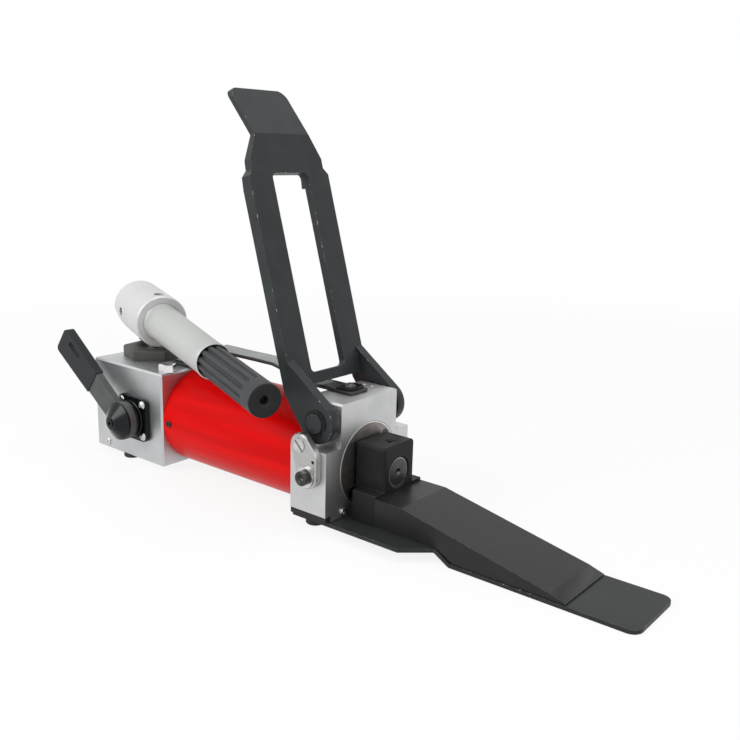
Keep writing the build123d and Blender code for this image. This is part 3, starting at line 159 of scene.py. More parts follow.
# %% A material with one method for every other node
class Finish:
    """A node material around one Principled shader. Constants go straight onto its sockets."""

    def __init__(self, name, **constants):
        self.material = bpy.data.materials.new(name)
        self.material.use_nodes = True
        self.tree = self.material.node_tree
        self.shader = self.tree.nodes["Principled BSDF"]
        for socket, value in constants.items():
            target = self.shader.inputs[socket.replace("_", " ").title().replace("Ior", "IOR")]
            target.default_value = value

    def node(self, kind, settings=None, inputs=None, output=0):
        """Adds a node: its settings first, then its sockets, and returns one of its outputs."""
        made = self.tree.nodes.new(kind)
        for key, value in (settings or {}).items():
            setattr(made, key, value)
        for key, value in (inputs or {}).items():
            self.plug(made.inputs[key], value)
        return Signal(self, made.outputs[output])

    def plug(self, socket, value):
        """Links a signal to a socket, or writes a plain value on it."""
        if isinstance(value, Signal):
            self.tree.links.new(value.socket, socket)
        else:
            socket.default_value = value

    def set(self, **inputs):
        """Feeds signals or values to the Principled shader."""
        for key, value in inputs.items():
            self.plug(self.shader.inputs[key.replace("_", " ").title()], value)
        return self.material

    def coords(self):
        """Object coordinates in metres: the frame's own at rest, and fixed to a piece that moves."""
        return self.node("ShaderNodeTexCoord", output="Object")

    def vector(self, operation, first, second=None, output=0):
        """Vector maths; lengths, distances and dot products come out of output 1."""
        values = {0: first} if second is None else {0: first, 1: second}
        return self.node("ShaderNodeVectorMath", {"operation": operation}, values, output)

    def place(self, stretch):
        """Object coordinates divided by a stretch along each axis."""
        scale = tuple(1 / s for s in stretch)
        return self.node("ShaderNodeMapping", {}, {"Vector": self.coords(), "Scale": scale})

    def noise(self, size, stretch=(1, 1, 1), detail=3.0, roughness=0.55):
        """Cloudy noise whose patches are about `size` metres across, drawn out by a stretch."""
        where = {"Vector": self.place(stretch), "Scale": 1 / size}
        return self.node("ShaderNodeTexNoise", {}, {**where, "Detail": detail, "Roughness": roughness})

    def mix(self, amount, first, second):
        """A blend of two colours, each a tuple or a signal."""
        inputs = {0: amount}
        for key, colour in ((6, first), (7, second)):
            inputs[key] = colour if isinstance(colour, Signal) else (*colour, 1.0)
        return self.node("ShaderNodeMix", {"data_type": "RGBA"}, inputs, output=2)

    def bump(self, height, depth, strength=1.0):
        """A normal from a height between 0 and 1 that stands `depth` metres high."""
        inputs = {"Height": height, "Distance": depth, "Strength": strength}
        return self.node("ShaderNodeBump", {}, inputs)

    def edges(self, radius):
        """1 near a sharp edge and 0 on open faces: how far a rounded normal leans from the true one."""
        soft = self.node("ShaderNodeBevel", {"samples": 4}, {"Radius": radius})
        true = self.node("ShaderNodeNewGeometry", output="Normal")
        return (1 - self.vector("DOT_PRODUCT", soft, true, output=1)).ramp(0.01, 0.16)


def shade(colour, factor):
    """The same colour, lighter or darker by a factor, and never above 1."""
    return tuple(min(1.0, factor * c) for c in colour)


print("shader helpers ready; half of a mid grey is", shade((0.4, 0.4, 0.4), 0.5))

# %% [markdown]
# ## Machined aluminium
# Both blocks are milled from bar and left bare, so they show fine tool lines, upright on the front block
# and lengthwise on the pump block, a faint cloudiness from handling, and a soft reflection. Stretched
# noise gives the lines; the same noise moves both roughness and a very shallow bump, because on the real
# face they are one thing.


# %% Milled aluminium
def milled_aluminium(name, colour, cool, stretch):
    """Tool lines drawn out by `stretch`, clouds between two tones, and small polished patches."""
    finish = Finish(name, metallic=1.0)
    lines = finish.noise(0.0006, stretch, detail=2.0)
    clouds = finish.noise(0.03, detail=4.0)
    handled = finish.noise(0.006, detail=5.0, roughness=0.7).ramp(0.62, 0.75)
    tone = finish.mix(clouds.ramp(0.35, 0.65), colour, cool)
    tone = finish.mix(lines.ramp(0.3, 0.7) * 0.18, tone, (0.42, 0.43, 0.44))
    rough = 0.30 + lines * 0.16 + clouds * 0.08 - handled * 0.05
    return finish.set(base_color=tone, roughness=rough, normal=finish.bump(lines, 0.00003, 0.5))


ALONG_X, ALONG_Z = (60, 1, 1), (1, 1, 60)
FRONT_METAL = milled_aluminium(
    "front_block_aluminium", (0.60, 0.60, 0.595), (0.54, 0.55, 0.55), ALONG_Z
)
PUMP_METAL = milled_aluminium(
    "pump_block_aluminium", (0.56, 0.565, 0.57), (0.50, 0.51, 0.52), ALONG_X
)
print("aluminium:", FRONT_METAL.name, PUMP_METAL.name)

# %% [markdown]
# ## Red paint on the tube
# A lacquer over a rolled tube: deep red, a trace of clear coat, and a slight waviness that breaks up long
# reflections into streaks along the tube. The waviness is a bump of stretched noise, with a little
# orange peel on top. The plain reflection is kept low: it is white, and would turn the red to pink.


# %% Red lacquer
def red_lacquer():
    """Streaks along X between two reds; the same streaks move the roughness and the bump."""
    finish = Finish("red_lacquer", coat_weight=0.02, coat_roughness=0.05, specular_ior_level=0.06)
    streaks = finish.noise(0.012, (14, 1, 1), detail=2.0)
    peel = finish.noise(0.0022, detail=1.0)
    tone = finish.mix(streaks.ramp(0.35, 0.7), (0.56, 0.0008, 0.0010), (0.69, 0.0016, 0.0018))
    rough = 0.26 + streaks * 0.12
    height = streaks * 0.7 + peel * 0.12
    return finish.set(base_color=tone, roughness=rough, normal=finish.bump(height, 0.0006, 0.5))


RED = red_lacquer()
print("paint:", RED.name)

# %% [markdown]
# ## Blackened steel and dark paint
# Jaw, yoke, wedge and base plate are dark, but not one dark: their finish is thin, so it is cloudy, it is
# rubbed grey along edges, and a few chips show bright metal. The edge mask compares the normal that a
# rounded edge would have with the true one; multiplied by noise it turns a ruled line into wear.


# %% Worn dark finishes
DARK_GRAIN, DARK_DEPTH = 0.0012, 0.00003
EDGE_RADIUS = 0.0009
BARE_METAL = (0.55, 0.55, 0.54)


def worn_dark(name, colour, rubbed, chips, roughness, sheen):
    """A cloudy dark skin, rubbed at the edges; a higher `chips` leaves fewer chips of bare metal."""
    finish = Finish(name, specular_ior_level=sheen)
    clouds = finish.noise(0.02, detail=5.0, roughness=0.6)
    fine = finish.noise(DARK_GRAIN, detail=3.0)
    edge = finish.edges(EDGE_RADIUS)
    wear = edge * finish.noise(0.004, detail=6.0, roughness=0.75).ramp(0.42, 0.62)
    chip = edge * finish.noise(0.0035, detail=2.0).ramp(chips, chips + 0.04)
    dust = finish.noise(0.0009, detail=1.0).ramp(0.78, 0.82) * 0.5
    tone = finish.mix(clouds.ramp(0.3, 0.7), colour, shade(colour, 1.35))
    tone = finish.mix(wear * 0.7, tone, rubbed)
    tone = finish.mix(dust, tone, rubbed)
    tone = finish.mix(chip, tone, BARE_METAL)
    rough = roughness + fine * 0.14 - wear * 0.08
    metal = chip * 0.9
    normal = finish.bump(fine + clouds * 0.5, DARK_DEPTH, 0.6)
    return finish.set(base_color=tone, roughness=rough, metallic=metal, normal=normal)


DARK_FINISHES = {
    "jaw_charcoal": ((0.021, 0.024, 0.026), (0.11, 0.12, 0.12), 0.62, 0.34, 0.22),
    "wedge_black_steel": ((0.0065, 0.0072, 0.0068), (0.09, 0.10, 0.10), 0.66, 0.34, 0.32),
    "yoke_black_steel": ((0.011, 0.012, 0.0115), (0.09, 0.09, 0.09), 0.68, 0.36, 0.12),
    "plate_dark_paint": ((0.014, 0.016, 0.0155), (0.12, 0.13, 0.13), 0.64, 0.38, 0.25),
    "turret_black_steel": ((0.050, 0.051, 0.046), (0.13, 0.135, 0.13), 0.7, 0.45, 0.3),
}
dark = [worn_dark(name, *values) for name, values in DARK_FINISHES.items()]
JAW_PAINT, WEDGE_STEEL, YOKE_STEEL, PLATE_PAINT, TURRET_STEEL = dark
print("dark finishes:", [material.name for material in dark])

# %% [markdown]
# ## Turned, ground and plated steel
# Rod, pins and screws are bare or zinc plated. A turned face shows rings about its axis, so its lines
# are a sine of the distance from that axis, and a plated screw is only softly mottled.
# The rod's end and the gland carry a bright ring at their rim, which is a painted highlight.


# %% Bare and plated steel
def plated_steel(name, colour, roughness, mottle=0.15):
    """Bare or plated metal with soft clouds, `mottle` strong, towards a darker tone."""
    finish = Finish(name, metallic=1.0)
    cloud = finish.noise(0.004, detail=4.0)
    tone = finish.mix(cloud.ramp(0.35, 0.7) * mottle, colour, shade(colour, 0.45))
    rough = roughness + cloud * 0.12
    return finish.set(base_color=tone, roughness=rough)


def turned_steel(name, colour, centre, pitch, roughness, rim, rim_highlight):
    """Rings `pitch` apart about an axis along X through `centre`, a (y, z) pair.

    Beyond the radius `rim` the colour is a painted highlight: a bright ring that stands for light caught
    on the rim's edge."""
    finish = Finish(name, metallic=1.0)
    flat = finish.vector("MULTIPLY", finish.coords(), (0.0, 1.0, 1.0))
    radius = finish.vector("DISTANCE", flat, (0.0, *centre), output=1)
    wobble = finish.noise(0.0015, detail=2.0)
    rings = (radius * (2 * np.pi / pitch) + wobble * 2.0).sine() * 0.5 + 0.5
    cloud = finish.noise(0.007, detail=4.0)
    tone = finish.mix(cloud.ramp(0.35, 0.7), colour, shade(colour, 0.7))
    tone = finish.mix(rings * 0.25, tone, shade(colour, 0.4))
    # Painted highlight: beyond the rim radius the colour turns to a bright tone that stands for light on
    # the edge.
    tone = finish.mix(radius.ramp(rim - 0.0004, rim), tone, rim_highlight)
    rough = roughness + rings * 0.12 + cloud * 0.1
    return finish.set(base_color=tone, roughness=rough, normal=finish.bump(rings, 0.00004, 0.6))


ZINC = plated_steel("zinc_plate", (0.62, 0.62, 0.61), 0.2, 0.35)
CHROME = plated_steel("bright_plate", (0.80, 0.80, 0.79), 0.08, 0.2)
LATCH_METAL = plated_steel("latch_plate_steel", (0.47, 0.47, 0.465), 0.26, 0.2)
SCREW_DARK = plated_steel("dark_screw_steel", (0.07, 0.07, 0.068), 0.24, 0.5)
BARREL_STEEL = plated_steel("barrel_steel", (0.42, 0.42, 0.42), 0.3)
ROD_AXIS = (0.0, 0.0457)
# The last two values of the rod and the gland are the rim radius and the colour of the painted highlight
# there.
ROD_STEEL = turned_steel(
    "rod_turned_steel_painted_rim", (0.085, 0.087, 0.09), ROD_AXIS, 0.0011, 0.22, 0.0108, (0.28, 0.27, 0.27)
)
GLAND_STEEL = turned_steel(
    "gland_turned_steel_painted_rim", (0.30, 0.275, 0.265), ROD_AXIS, 0.0005, 0.3, 0.0328, (0.80, 0.77, 0.75)
)
print("steels:", ZINC.name, CHROME.name, ROD_STEEL.name)

# %% [markdown]
# ## Silver handle, rubber and plastic
# The handle's head and tube have a pale silver coating with a fine sparkle. Rubber is dull and dusty,
# moulded plastic is a little glossier, and the valve's knob and flange are polished black. Where rubber is
# cut, as at the end of the grip, there is no dusty skin, and it is much darker.


# %% Coatings, rubber and plastic
def silver_coat(name, colour, roughness):
    """Half metal, half paint: fine flakes glitter, and wide clouds dull it a little."""
    finish = Finish(name, metallic=0.3, specular_ior_level=0.3)
    flake = finish.noise(0.0004, detail=1.0)
    cloud = finish.noise(0.03, detail=3.0)
    tone = finish.mix(flake.ramp(0.45, 0.75) * 0.5, colour, shade(colour, 1.12))
    tone = finish.mix(cloud.ramp(0.4, 0.7) * 0.35, tone, shade(colour, 0.88))
    rough = roughness + flake * 0.08
    return finish.set(base_color=tone, roughness=rough, normal=finish.bump(flake, 0.00002, 0.4))


def moulded(name, colour, roughness, grain, depth, dusty=0.0, sheen=0.3, cut=None):
    """A moulded skin with its grain, and dust caught in it.

    `cut` is an axis and a distance along it, beyond which a cut face is nearly black."""
    finish = Finish(name, specular_ior_level=sheen)
    skin = finish.noise(grain, detail=3.0)
    cloud = finish.noise(0.012, detail=4.0)
    tone = finish.mix(cloud.ramp(0.35, 0.7), colour, shade(colour, 1.25))
    tone = finish.mix(skin.ramp(0.6, 0.75) * dusty, tone, shade(colour, 2.6))
    if cut is not None:
        axis, start = cut
        along = finish.vector("DOT_PRODUCT", finish.coords(), tuple(map(float, axis)), output=1)
        tone = finish.mix(along.ramp(start, start + 0.0005), tone, shade(colour, 0.22))
    rough = roughness + skin * 0.12 + cloud * 0.06
    return finish.set(base_color=tone, roughness=rough, normal=finish.bump(skin, depth, 0.6))


HEAD_COAT = silver_coat("handle_head_silver", (0.60, 0.60, 0.60), 0.36)
TUBE_COAT = silver_coat("handle_tube_silver", (0.48, 0.495, 0.48), 0.38)
FOOT_RUBBER = moulded("foot_rubber", (0.022, 0.022, 0.023), 0.6, 0.0014, 0.00006, 0.3)
SEAL_RUBBER = moulded("seal_rubber", (0.012, 0.012, 0.012), 0.45, 0.002, 0.00002)
LEVER_PLASTIC = moulded("lever_plastic", (0.058, 0.064, 0.060), 0.42, 0.0009, 0.00004, 0.2)
LEVER_DARK = moulded("lever_end_plastic", (0.012, 0.015, 0.017), 0.36, 0.0009, 0.00003, 0.2, 0.2)
GLOSS_BLACK = moulded("gloss_black_plastic", (0.004, 0.005, 0.006), 0.14, 0.003, 0.00001, 0.0, 0.22)
print("rubber and plastic:", FOOT_RUBBER.name, LEVER_PLASTIC.name, GLOSS_BLACK.name)

# %% [markdown]
# ## Webbing of the strap
# The strap is woven: threads run along it and across it. Its own UV map measures metres along and
# across the band, so two sines of those make the weave, and it follows the strap round its bends. Its
# edges are black, and the first centimetres from the front clamp are nearly so, as in the photograph.
# The grey of the face is painted reflection: the band itself is black, and its face looks grey where it
# catches the light.


# %% Woven band
THREAD_PITCH = 0.0012
BLACK_EDGE = (0.0090, 0.0094)
BLACK_END = (0.058, 0.040)


def webbing():
    """The product of two sines along and across the band, in a grey that is painted reflection; the band's
    own black shows at its edges and its front end.
    """
    finish = Finish("strap_webbing_painted_sheen", specular_ior_level=0.5)
    uv = finish.node("ShaderNodeUVMap", {"uv_map": "band"})
    along = finish.node("ShaderNodeSeparateXYZ", {}, {0: uv})
    across = Signal(finish, along.socket.node.outputs["Y"])
    thread = 2 * np.pi / THREAD_PITCH
    weave = (along * thread).sine() * (across * thread).sine() * 0.5 + 0.5
    cloud = finish.noise(0.01, detail=3.0)
    # Painted reflection: this grey, with the weave in it, stands for light caught on the face of a black
    # band.
    tone = finish.mix(weave * 0.5 + cloud * 0.3, (0.20, 0.215, 0.205), (0.38, 0.40, 0.385))
    tone = finish.mix(along.ramp(*BLACK_END), tone, (0.016, 0.017, 0.017))
    tone = finish.mix(across.size().ramp(*BLACK_EDGE), tone, (0.006, 0.006, 0.006))
    rough = 0.34 + weave * 0.14
    return finish.set(base_color=tone, roughness=rough, normal=finish.bump(weave, 0.00012, 0.7))


STRAP_WEB_PAINTED_SHEEN = webbing()
print("webbing:", STRAP_WEB_PAINTED_SHEEN.name)

# %% [markdown]
# ## Surfaces worked out on a grid
# A moulded piece is a grid of points: one direction runs along a line, the other runs round it. The same
# helper turns any such grid into a mesh, so each piece below is only its formula. Places and axes are
# those of the CAD node that the piece stands for, and so are most radii and lengths. Where the
# photograph differs from the CAD by a few millimetres or less, the piece follows the photograph.


# %% From a grid of points to a piece
def grid_piece(name, points, uv=None):
    """A smooth mesh over points[i, j], where i runs along the piece and j wraps round it."""
    along, across = points.shape[:2]
    step = np.arange(across)
    quads = []
    for i in range(along - 1):
        near, far = i * across + step, i * across + (step + 1) % across
        quads += np.column_stack([near, far, far + across, near + across]).tolist()
    mesh = bpy.data.meshes.new(name)
    mesh.from_pydata(points.reshape(-1, 3).tolist(), [], quads)
    if uv is not None:
        layer = mesh.uv_layers.new(name="band")
        corners = [loop.vertex_index for loop in mesh.loops]
        layer.data.foreach_set("uv", uv.reshape(-1, 2)[corners].astype(np.float32).ravel())
    mesh.shade_smooth()
    piece = bpy.data.objects.new(name, mesh)
    bpy.context.scene.collection.objects.link(piece)
    return piece


def stand_for(piece, node, body, material):
    """The piece rides on a body, hides the CAD node, and wears its finish."""
    piece.data.materials.append(material)
    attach(piece, body)
    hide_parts(node)
    print(piece.name, "faces:", len(piece.data.polygons), "for", node)


def smooth_step(value, low, high):
    """3t^2 - 2t^3 of t, which runs from 0 at low to 1 at high."""
    t = np.clip((value - low) / (high - low), 0, 1)
    return t * t * (3 - 2 * t)


# %% [markdown]
# ## The strap
# A real band never lies as flat as a swept rectangle. Its two edges are turned over and stand up as thin
# beads, its face dips between them, and it bows a little where the hand has pulled it. The line is the
# CAD's: straight runs joined by arcs. An arc of radius R that turns by an angle a starts R tan(a/2)
# before the corner, which is all that is needed to place its points.

# %% Strap line
STRAP_CORNERS = [(-0.17805, 0.101), (-0.21905, 0.101), (-0.26305, 0.110), (-0.33905, 0.110)]
STRAP_CORNERS += [(-0.36905, 0.0902), (-0.39055, 0.0902)]
STRAP_ARC, ROW_STEP = 0.009, 0.0015


def arc_line(corners, radius, steps=10):
    """Points (x, z) of the straight runs, with steps + 1 points on each arc between them."""
    corners = np.array(corners)
    line = [corners[0]]
    for before, corner, after in zip(corners, corners[1:], corners[2:]):
        arrive, leave = corner - before, after - corner
        arrive, leave = arrive / np.hypot(*arrive), leave / np.hypot(*leave)
        turn = np.arctan2(arrive[0] * leave[1] - arrive[1] * leave[0], arrive @ leave)
        start = corner - arrive * radius * np.tan(abs(turn) / 2)
        side = np.sign(turn) * np.array([-arrive[1], arrive[0]])
        for angle in np.linspace(0, abs(turn), steps + 1):
            line.append(start + radius * (arrive * np.sin(angle) + side * (1 - np.cos(angle))))
    return np.array(line + [corners[-1]])


def divide(line, step):
    """The same line with a point at least every `step` metres."""
    dense = [line[0]]
    for first, last in zip(line, line[1:]):
        count = max(1, int(np.ceil(np.hypot(*(last - first)) / step)))
        dense += [first + (last - first) * k / count for k in range(1, count + 1)]
    return np.array(dense)


strap_line = divide(arc_line(STRAP_CORNERS, STRAP_ARC), ROW_STEP)
print("strap line:", len(strap_line), "points")

# %% Strap section and band
STRAP_HALF, STRAP_THICK = 0.010, 0.003
# The edge's rounding, where the bead runs out into the face, and how far the face dips.
BEAD, BEAD_FALL, DIP = 0.0009, (0.0012, 0.0021), 0.00045
# Metres from either end at which the band starts to be loose, and is wholly so.
CLAMPED, FREE = 0.03, 0.06
WAVE, WAVE_LENGTH, BOW = 0.0005, 0.047, 0.0003


def strap_section():
    """Half-thickness over the width: t(y) = T/2 - d (1 - bead), where the bead rises at both edges."""
    y = np.linspace(-STRAP_HALF, STRAP_HALF, 41)
    from_edge = STRAP_HALF - abs(y)
    bead = 1 - smooth_step(from_edge, *BEAD_FALL)
    round_off = np.sqrt(np.clip(1 - np.clip(1 - from_edge / BEAD, 0, 1) ** 2, 0.04, 1))
    half = (STRAP_THICK / 2 - DIP * (1 - bead)) * round_off
    return np.concatenate([y, y[::-1]]), np.concatenate([half, -half[::-1]])


def closed_ends(rows):
    """The same rows, with one more at each end in which top and bottom meet: a cap across the band."""
    meet = (rows + rows[:, ::-1]) / 2
    return np.concatenate([meet[:1], rows, meet[-1:]])


def strap_band(line):
    """The section carried along the line, and metres along and across the band at each point.

    Between its clamped ends the middle of the band waves a little and bows upwards."""
    heading = np.gradient(line, axis=0)
    heading /= np.hypot(heading[:, 0], heading[:, 1])[:, None]
    upward = np.column_stack([heading[:, 1], -heading[:, 0]])
    upward *= np.sign(upward[:, 1])[:, None]
    reach = np.concatenate([[0], np.cumsum(np.hypot(*np.diff(line, axis=0).T))])
    across, height = strap_section()
    past_front = smooth_step(reach, CLAMPED, FREE)
    before_rear = 1 - smooth_step(reach, reach[-1] - FREE, reach[-1] - CLAMPED)
    loose = past_front * before_rear
    wave = WAVE * loose * np.sin(reach * 2 * np.pi / WAVE_LENGTH) + BOW * loose
    points = np.empty((len(line), len(across), 3))
    for i, (place, up) in enumerate(zip(line, upward)):
        lift = height + wave[i] * (1 - (across / STRAP_HALF) ** 2)
        points[i, :, 0] = place[0] + up[0] * lift
        points[i, :, 1] = across
        points[i, :, 2] = place[1] + up[1] * lift
    uv = np.stack(np.broadcast_arrays(reach[:, None], across[None, :]), axis=-1)
    return closed_ends(points), closed_ends(uv)


points, uv = strap_band(strap_line)
strap = grid_piece("strap_band", points, uv)
stand_for(strap, "carry_strap", "frame", STRAP_WEB_PAINTED_SHEEN)

# %% [markdown]
# ## The fluted grip
# The grip is a tube whose radius falls where a flute runs. A flute comes out of the handle tube's mouth
# and has a round end, so the depth at a point depends only on its distance from the flute's middle line:
# sqrt(u^2 + v^2), where u is the arc length from that line and v is how far the point lies beyond its end.

# %% The handle's frame, and the grip's sizes
PIVOT = np.array([-0.450145, 0.008178, 0.1279])
YAW, PITCH = np.radians([19.5, 4.7])
HANDLE_AXIS = np.array([np.cos(PITCH) * np.cos(YAW), -np.cos(PITCH) * np.sin(YAW), -np.sin(PITCH)])
HANDLE_SIDE = np.array([np.sin(YAW), np.cos(YAW), 0.0])
HANDLE_UP = np.cross(HANDLE_AXIS, HANDLE_SIDE)
HANDLE_FRAME = (PIVOT, HANDLE_AXIS, HANDLE_SIDE, HANDLE_UP)
GRIP_START, GRIP_END, GRIP_RADIUS = 0.1634, 0.2679, 0.0134
CORE_RADIUS, COLLAR_EDGE, GRIP_EDGE = 0.0092, 0.0006, 0.0012
HOLE_RADIUS, HOLE_DEPTH = 0.0037, 0.012
FLUTES, FLUTE_DEPTH, FLUTE_HALF, FLUTE_END = 12, 0.0022, 0.0016, 0.2530
WALL_INSIDE, WALL_OUTSIDE = 0.0006, 0.0003
POINTS_PER_FLUTE = 20
print("handle axis:", HANDLE_AXIS.round(4), "grip length:", GRIP_END - GRIP_START)


# %% Fluted grip
def around(frame, distance, radius, angle):
    """Points at a distance along a frame's axis, and at a radius and angle about it."""
    origin, axis, side, up = frame
    ring = np.cos(angle)[..., None] * side + np.sin(angle)[..., None] * up
    return origin + distance[..., None] * axis + radius[..., None] * ring


def grip_profile():
    """(distance, radius) from the collar inside the tube's lip, along the outside, and into the end."""
    turn = np.linspace(0, np.pi / 2, 8)
    collar = [(GRIP_START, CORE_RADIUS), (GRIP_START, GRIP_RADIUS - COLLAR_EDGE)]
    collar += [(GRIP_START + COLLAR_EDGE, GRIP_RADIUS)]
    barrel = np.linspace(GRIP_START + 0.001, GRIP_END - GRIP_EDGE, 150)
    barrel = [(s, GRIP_RADIUS) for s in barrel]
    corner = np.column_stack(
        [GRIP_END - GRIP_EDGE * (1 - np.sin(turn)), GRIP_RADIUS - GRIP_EDGE * (1 - np.cos(turn))]
    )
    mouth = [(GRIP_END, 0.0050), (GRIP_END - 0.0004, 0.0040), (GRIP_END - 0.001, HOLE_RADIUS)]
    mouth += [(GRIP_END - HOLE_DEPTH, HOLE_RADIUS)]
    return np.array(collar + barrel + corner.tolist() + mouth)


def fluted_grip():
    """The grip's points. A flute's wall slopes from inside to outside its half width, and only the
    outer skin is fluted."""
    distance, radius = grip_profile().T
    angle = np.linspace(0, 2 * np.pi, FLUTES * POINTS_PER_FLUTE, endpoint=False)
    distance, angle = np.meshgrid(distance, angle, indexing="ij")
    radius = np.broadcast_to(radius[:, None], distance.shape)
    turn = angle * FLUTES / (2 * np.pi)
    aside = abs(turn - np.round(turn)) * 2 * np.pi / FLUTES * GRIP_RADIUS
    beyond = np.clip(distance - (FLUTE_END - FLUTE_HALF), 0, None)
    away = np.hypot(aside, beyond)
    flute = 1 - smooth_step(away, FLUTE_HALF - WALL_INSIDE, FLUTE_HALF + WALL_OUTSIDE)
    outer = (radius > GRIP_RADIUS - 0.0007) & (distance < FLUTE_END + 0.001)
    return around(HANDLE_FRAME, distance, radius - FLUTE_DEPTH * flute * outer, angle)


grip_cut = (HANDLE_AXIS, float(PIVOT @ HANDLE_AXIS) + GRIP_END - 0.0007)
GRIP_RUBBER = moulded(
    "grip_rubber", (0.034, 0.036, 0.038), 0.48, 0.0011, 0.00004, 0.3, cut=grip_cut
)
grip = grid_piece("fluted_grip", fluted_grip())
stand_for(grip, "handle_grip", "handle", GRIP_RUBBER)

# %% [markdown]
# ## Pieces turned on a lathe, and their polygons
# The handle's tube, the pump's turret and the latch's screw are all a profile carried round an axis. The
# turret and the screw's socket have six sides, so a profile point may ask for a polygon instead of
# a circle. A polygon with apothem a has the radius a / cos(t) at the angle t from the nearest face's
# middle; the power mean of all its faces, (sum cos(t_k)^p)^(-1/p), gives the same with rounded corners.


# %% Turned profiles
SIDES, POWER = 6, 60


def polygon_radius(angle, turn):
    """The radius of a regular polygon with apothem 1 whose first face looks along `turn`."""
    faces = turn + np.arange(SIDES) * 2 * np.pi / SIDES
    facing = np.clip(np.cos(angle[..., None] - faces), 0, None)
    return (facing**POWER).sum(axis=-1) ** (-1 / POWER)


def turned(name, frame, profile, steps, flat_rows=(), turn=0.0):
    """A profile of (distance, radius) in millimetres round an axis; the listed rows are polygons."""
    distance, radius = np.array(profile).T / 1000
    angle = np.linspace(0, 2 * np.pi, steps, endpoint=False)
    distance, angle = np.meshgrid(distance, angle, indexing="ij")
    shape = np.ones_like(angle)
    for row in flat_rows:
        shape[row] = polygon_radius(angle[row], turn)
    return grid_piece(name, around(frame, distance, radius[:, None] * shape, angle))


def eased(first, last, radius, steps=6):
    """Profile points round a quarter turn, from the side of a corner to its top."""
    angle = np.linspace(0, np.pi / 2, steps)
    return [(last - radius * (1 - np.sin(a)), first - radius * (1 - np.cos(a))) for a in angle]


X, Y, Z = np.eye(3)
print("a hexagon's corner radius:", polygon_radius(np.array([np.pi / SIDES]), 0.0))

# %% The handle's tapered tube
ROOT, TAPER_START, TAPER_LENGTH, TAPER_FALL = 16.4, 49.4, 116.6, 1.5
TUBE_PROFILE = [(42.9, 9.2), (42.9, 17.4), (47.0, 17.4), (47.1, ROOT), (47.3, 16.7), (47.9, 17.1)]
TUBE_PROFILE += [(48.6, 16.9), (TAPER_START, ROOT)]
TUBE_PROFILE += [
    (s, ROOT - TAPER_FALL * (s - TAPER_START) / TAPER_LENGTH) for s in np.linspace(51.0, 166.0, 30)
]
TUBE_PROFILE += [(167.2, 15.0), (168.0, 15.3), (169.6, 15.4), (170.6, 15.2), (171.2, 14.8)]
TUBE_PROFILE += [(171.3, 14.4), (171.0, 14.1), (163.2, 14.0), (163.2, 9.2)]
tube = turned("tapered_tube", HANDLE_FRAME, TUBE_PROFILE, 128)
stand_for(tube, "handle_tube", "handle", TUBE_COAT)

# %% The pump's six-sided turret
TURRET_FRAME = (np.array([-0.42705, 0.0, 0.0]), Z, X, Y)
TURRET_FLAT, TURRET_TURN = 25.8, np.radians(10.5)
TURRET_PROFILE = [(88.7, 10.1), (88.7, TURRET_FLAT - 0.4), (89.2, TURRET_FLAT), (93.0, TURRET_FLAT)]
TURRET_PROFILE += eased(TURRET_FLAT, 98.4, 1.8)
FLAT_ROWS = range(1, len(TURRET_PROFILE))
TURRET_PROFILE += [(98.5, 22.6), (98.7, 21.8), (98.7, 12.6), (98.2, 12.0), (98.0, 10.1), (95.7, 10.1)]
turret = turned("hex_turret", TURRET_FRAME, TURRET_PROFILE, 192, FLAT_ROWS, TURRET_TURN)
stand_for(turret, "pump_turret", "frame", TURRET_STEEL)

# %% The latch's cap screw
SCREW_FRAME = (np.array([-0.18135, 0.0, 0.046]), -Y, X, Z)
SCREW_PROFILE = [(36.2, 0.0), (36.2, 4.0), (57.95, 4.0), (57.95, 5.2), (58.2, 5.6)]
SCREW_PROFILE += eased(5.65, 62.2, 0.6)
SCREW_PROFILE += [(62.25, 4.2), (62.1, 3.4), (61.9, 2.9), (59.4, 2.9), (59.0, 0.0)]
SOCKET_ROWS = range(len(SCREW_PROFILE) - 3, len(SCREW_PROFILE) - 1)
screw = turned("latch_cap_screw", SCREW_FRAME, SCREW_PROFILE, 96, SOCKET_ROWS)
stand_for(screw, "latch_screw", "frame", SCREW_DARK)

# %% [markdown]
# ## Which piece wears which finish
# One list of finishes, each with its nodes, keeps this decision in one place. A CAD node keeps its shape,
# so it only gets its material, and where its edges show, its loose triangles are welded and softly
# rounded by modifiers: every machined edge is broken by a fraction of a millimetre, and that thin
# highlight is what the eye reads as metal.

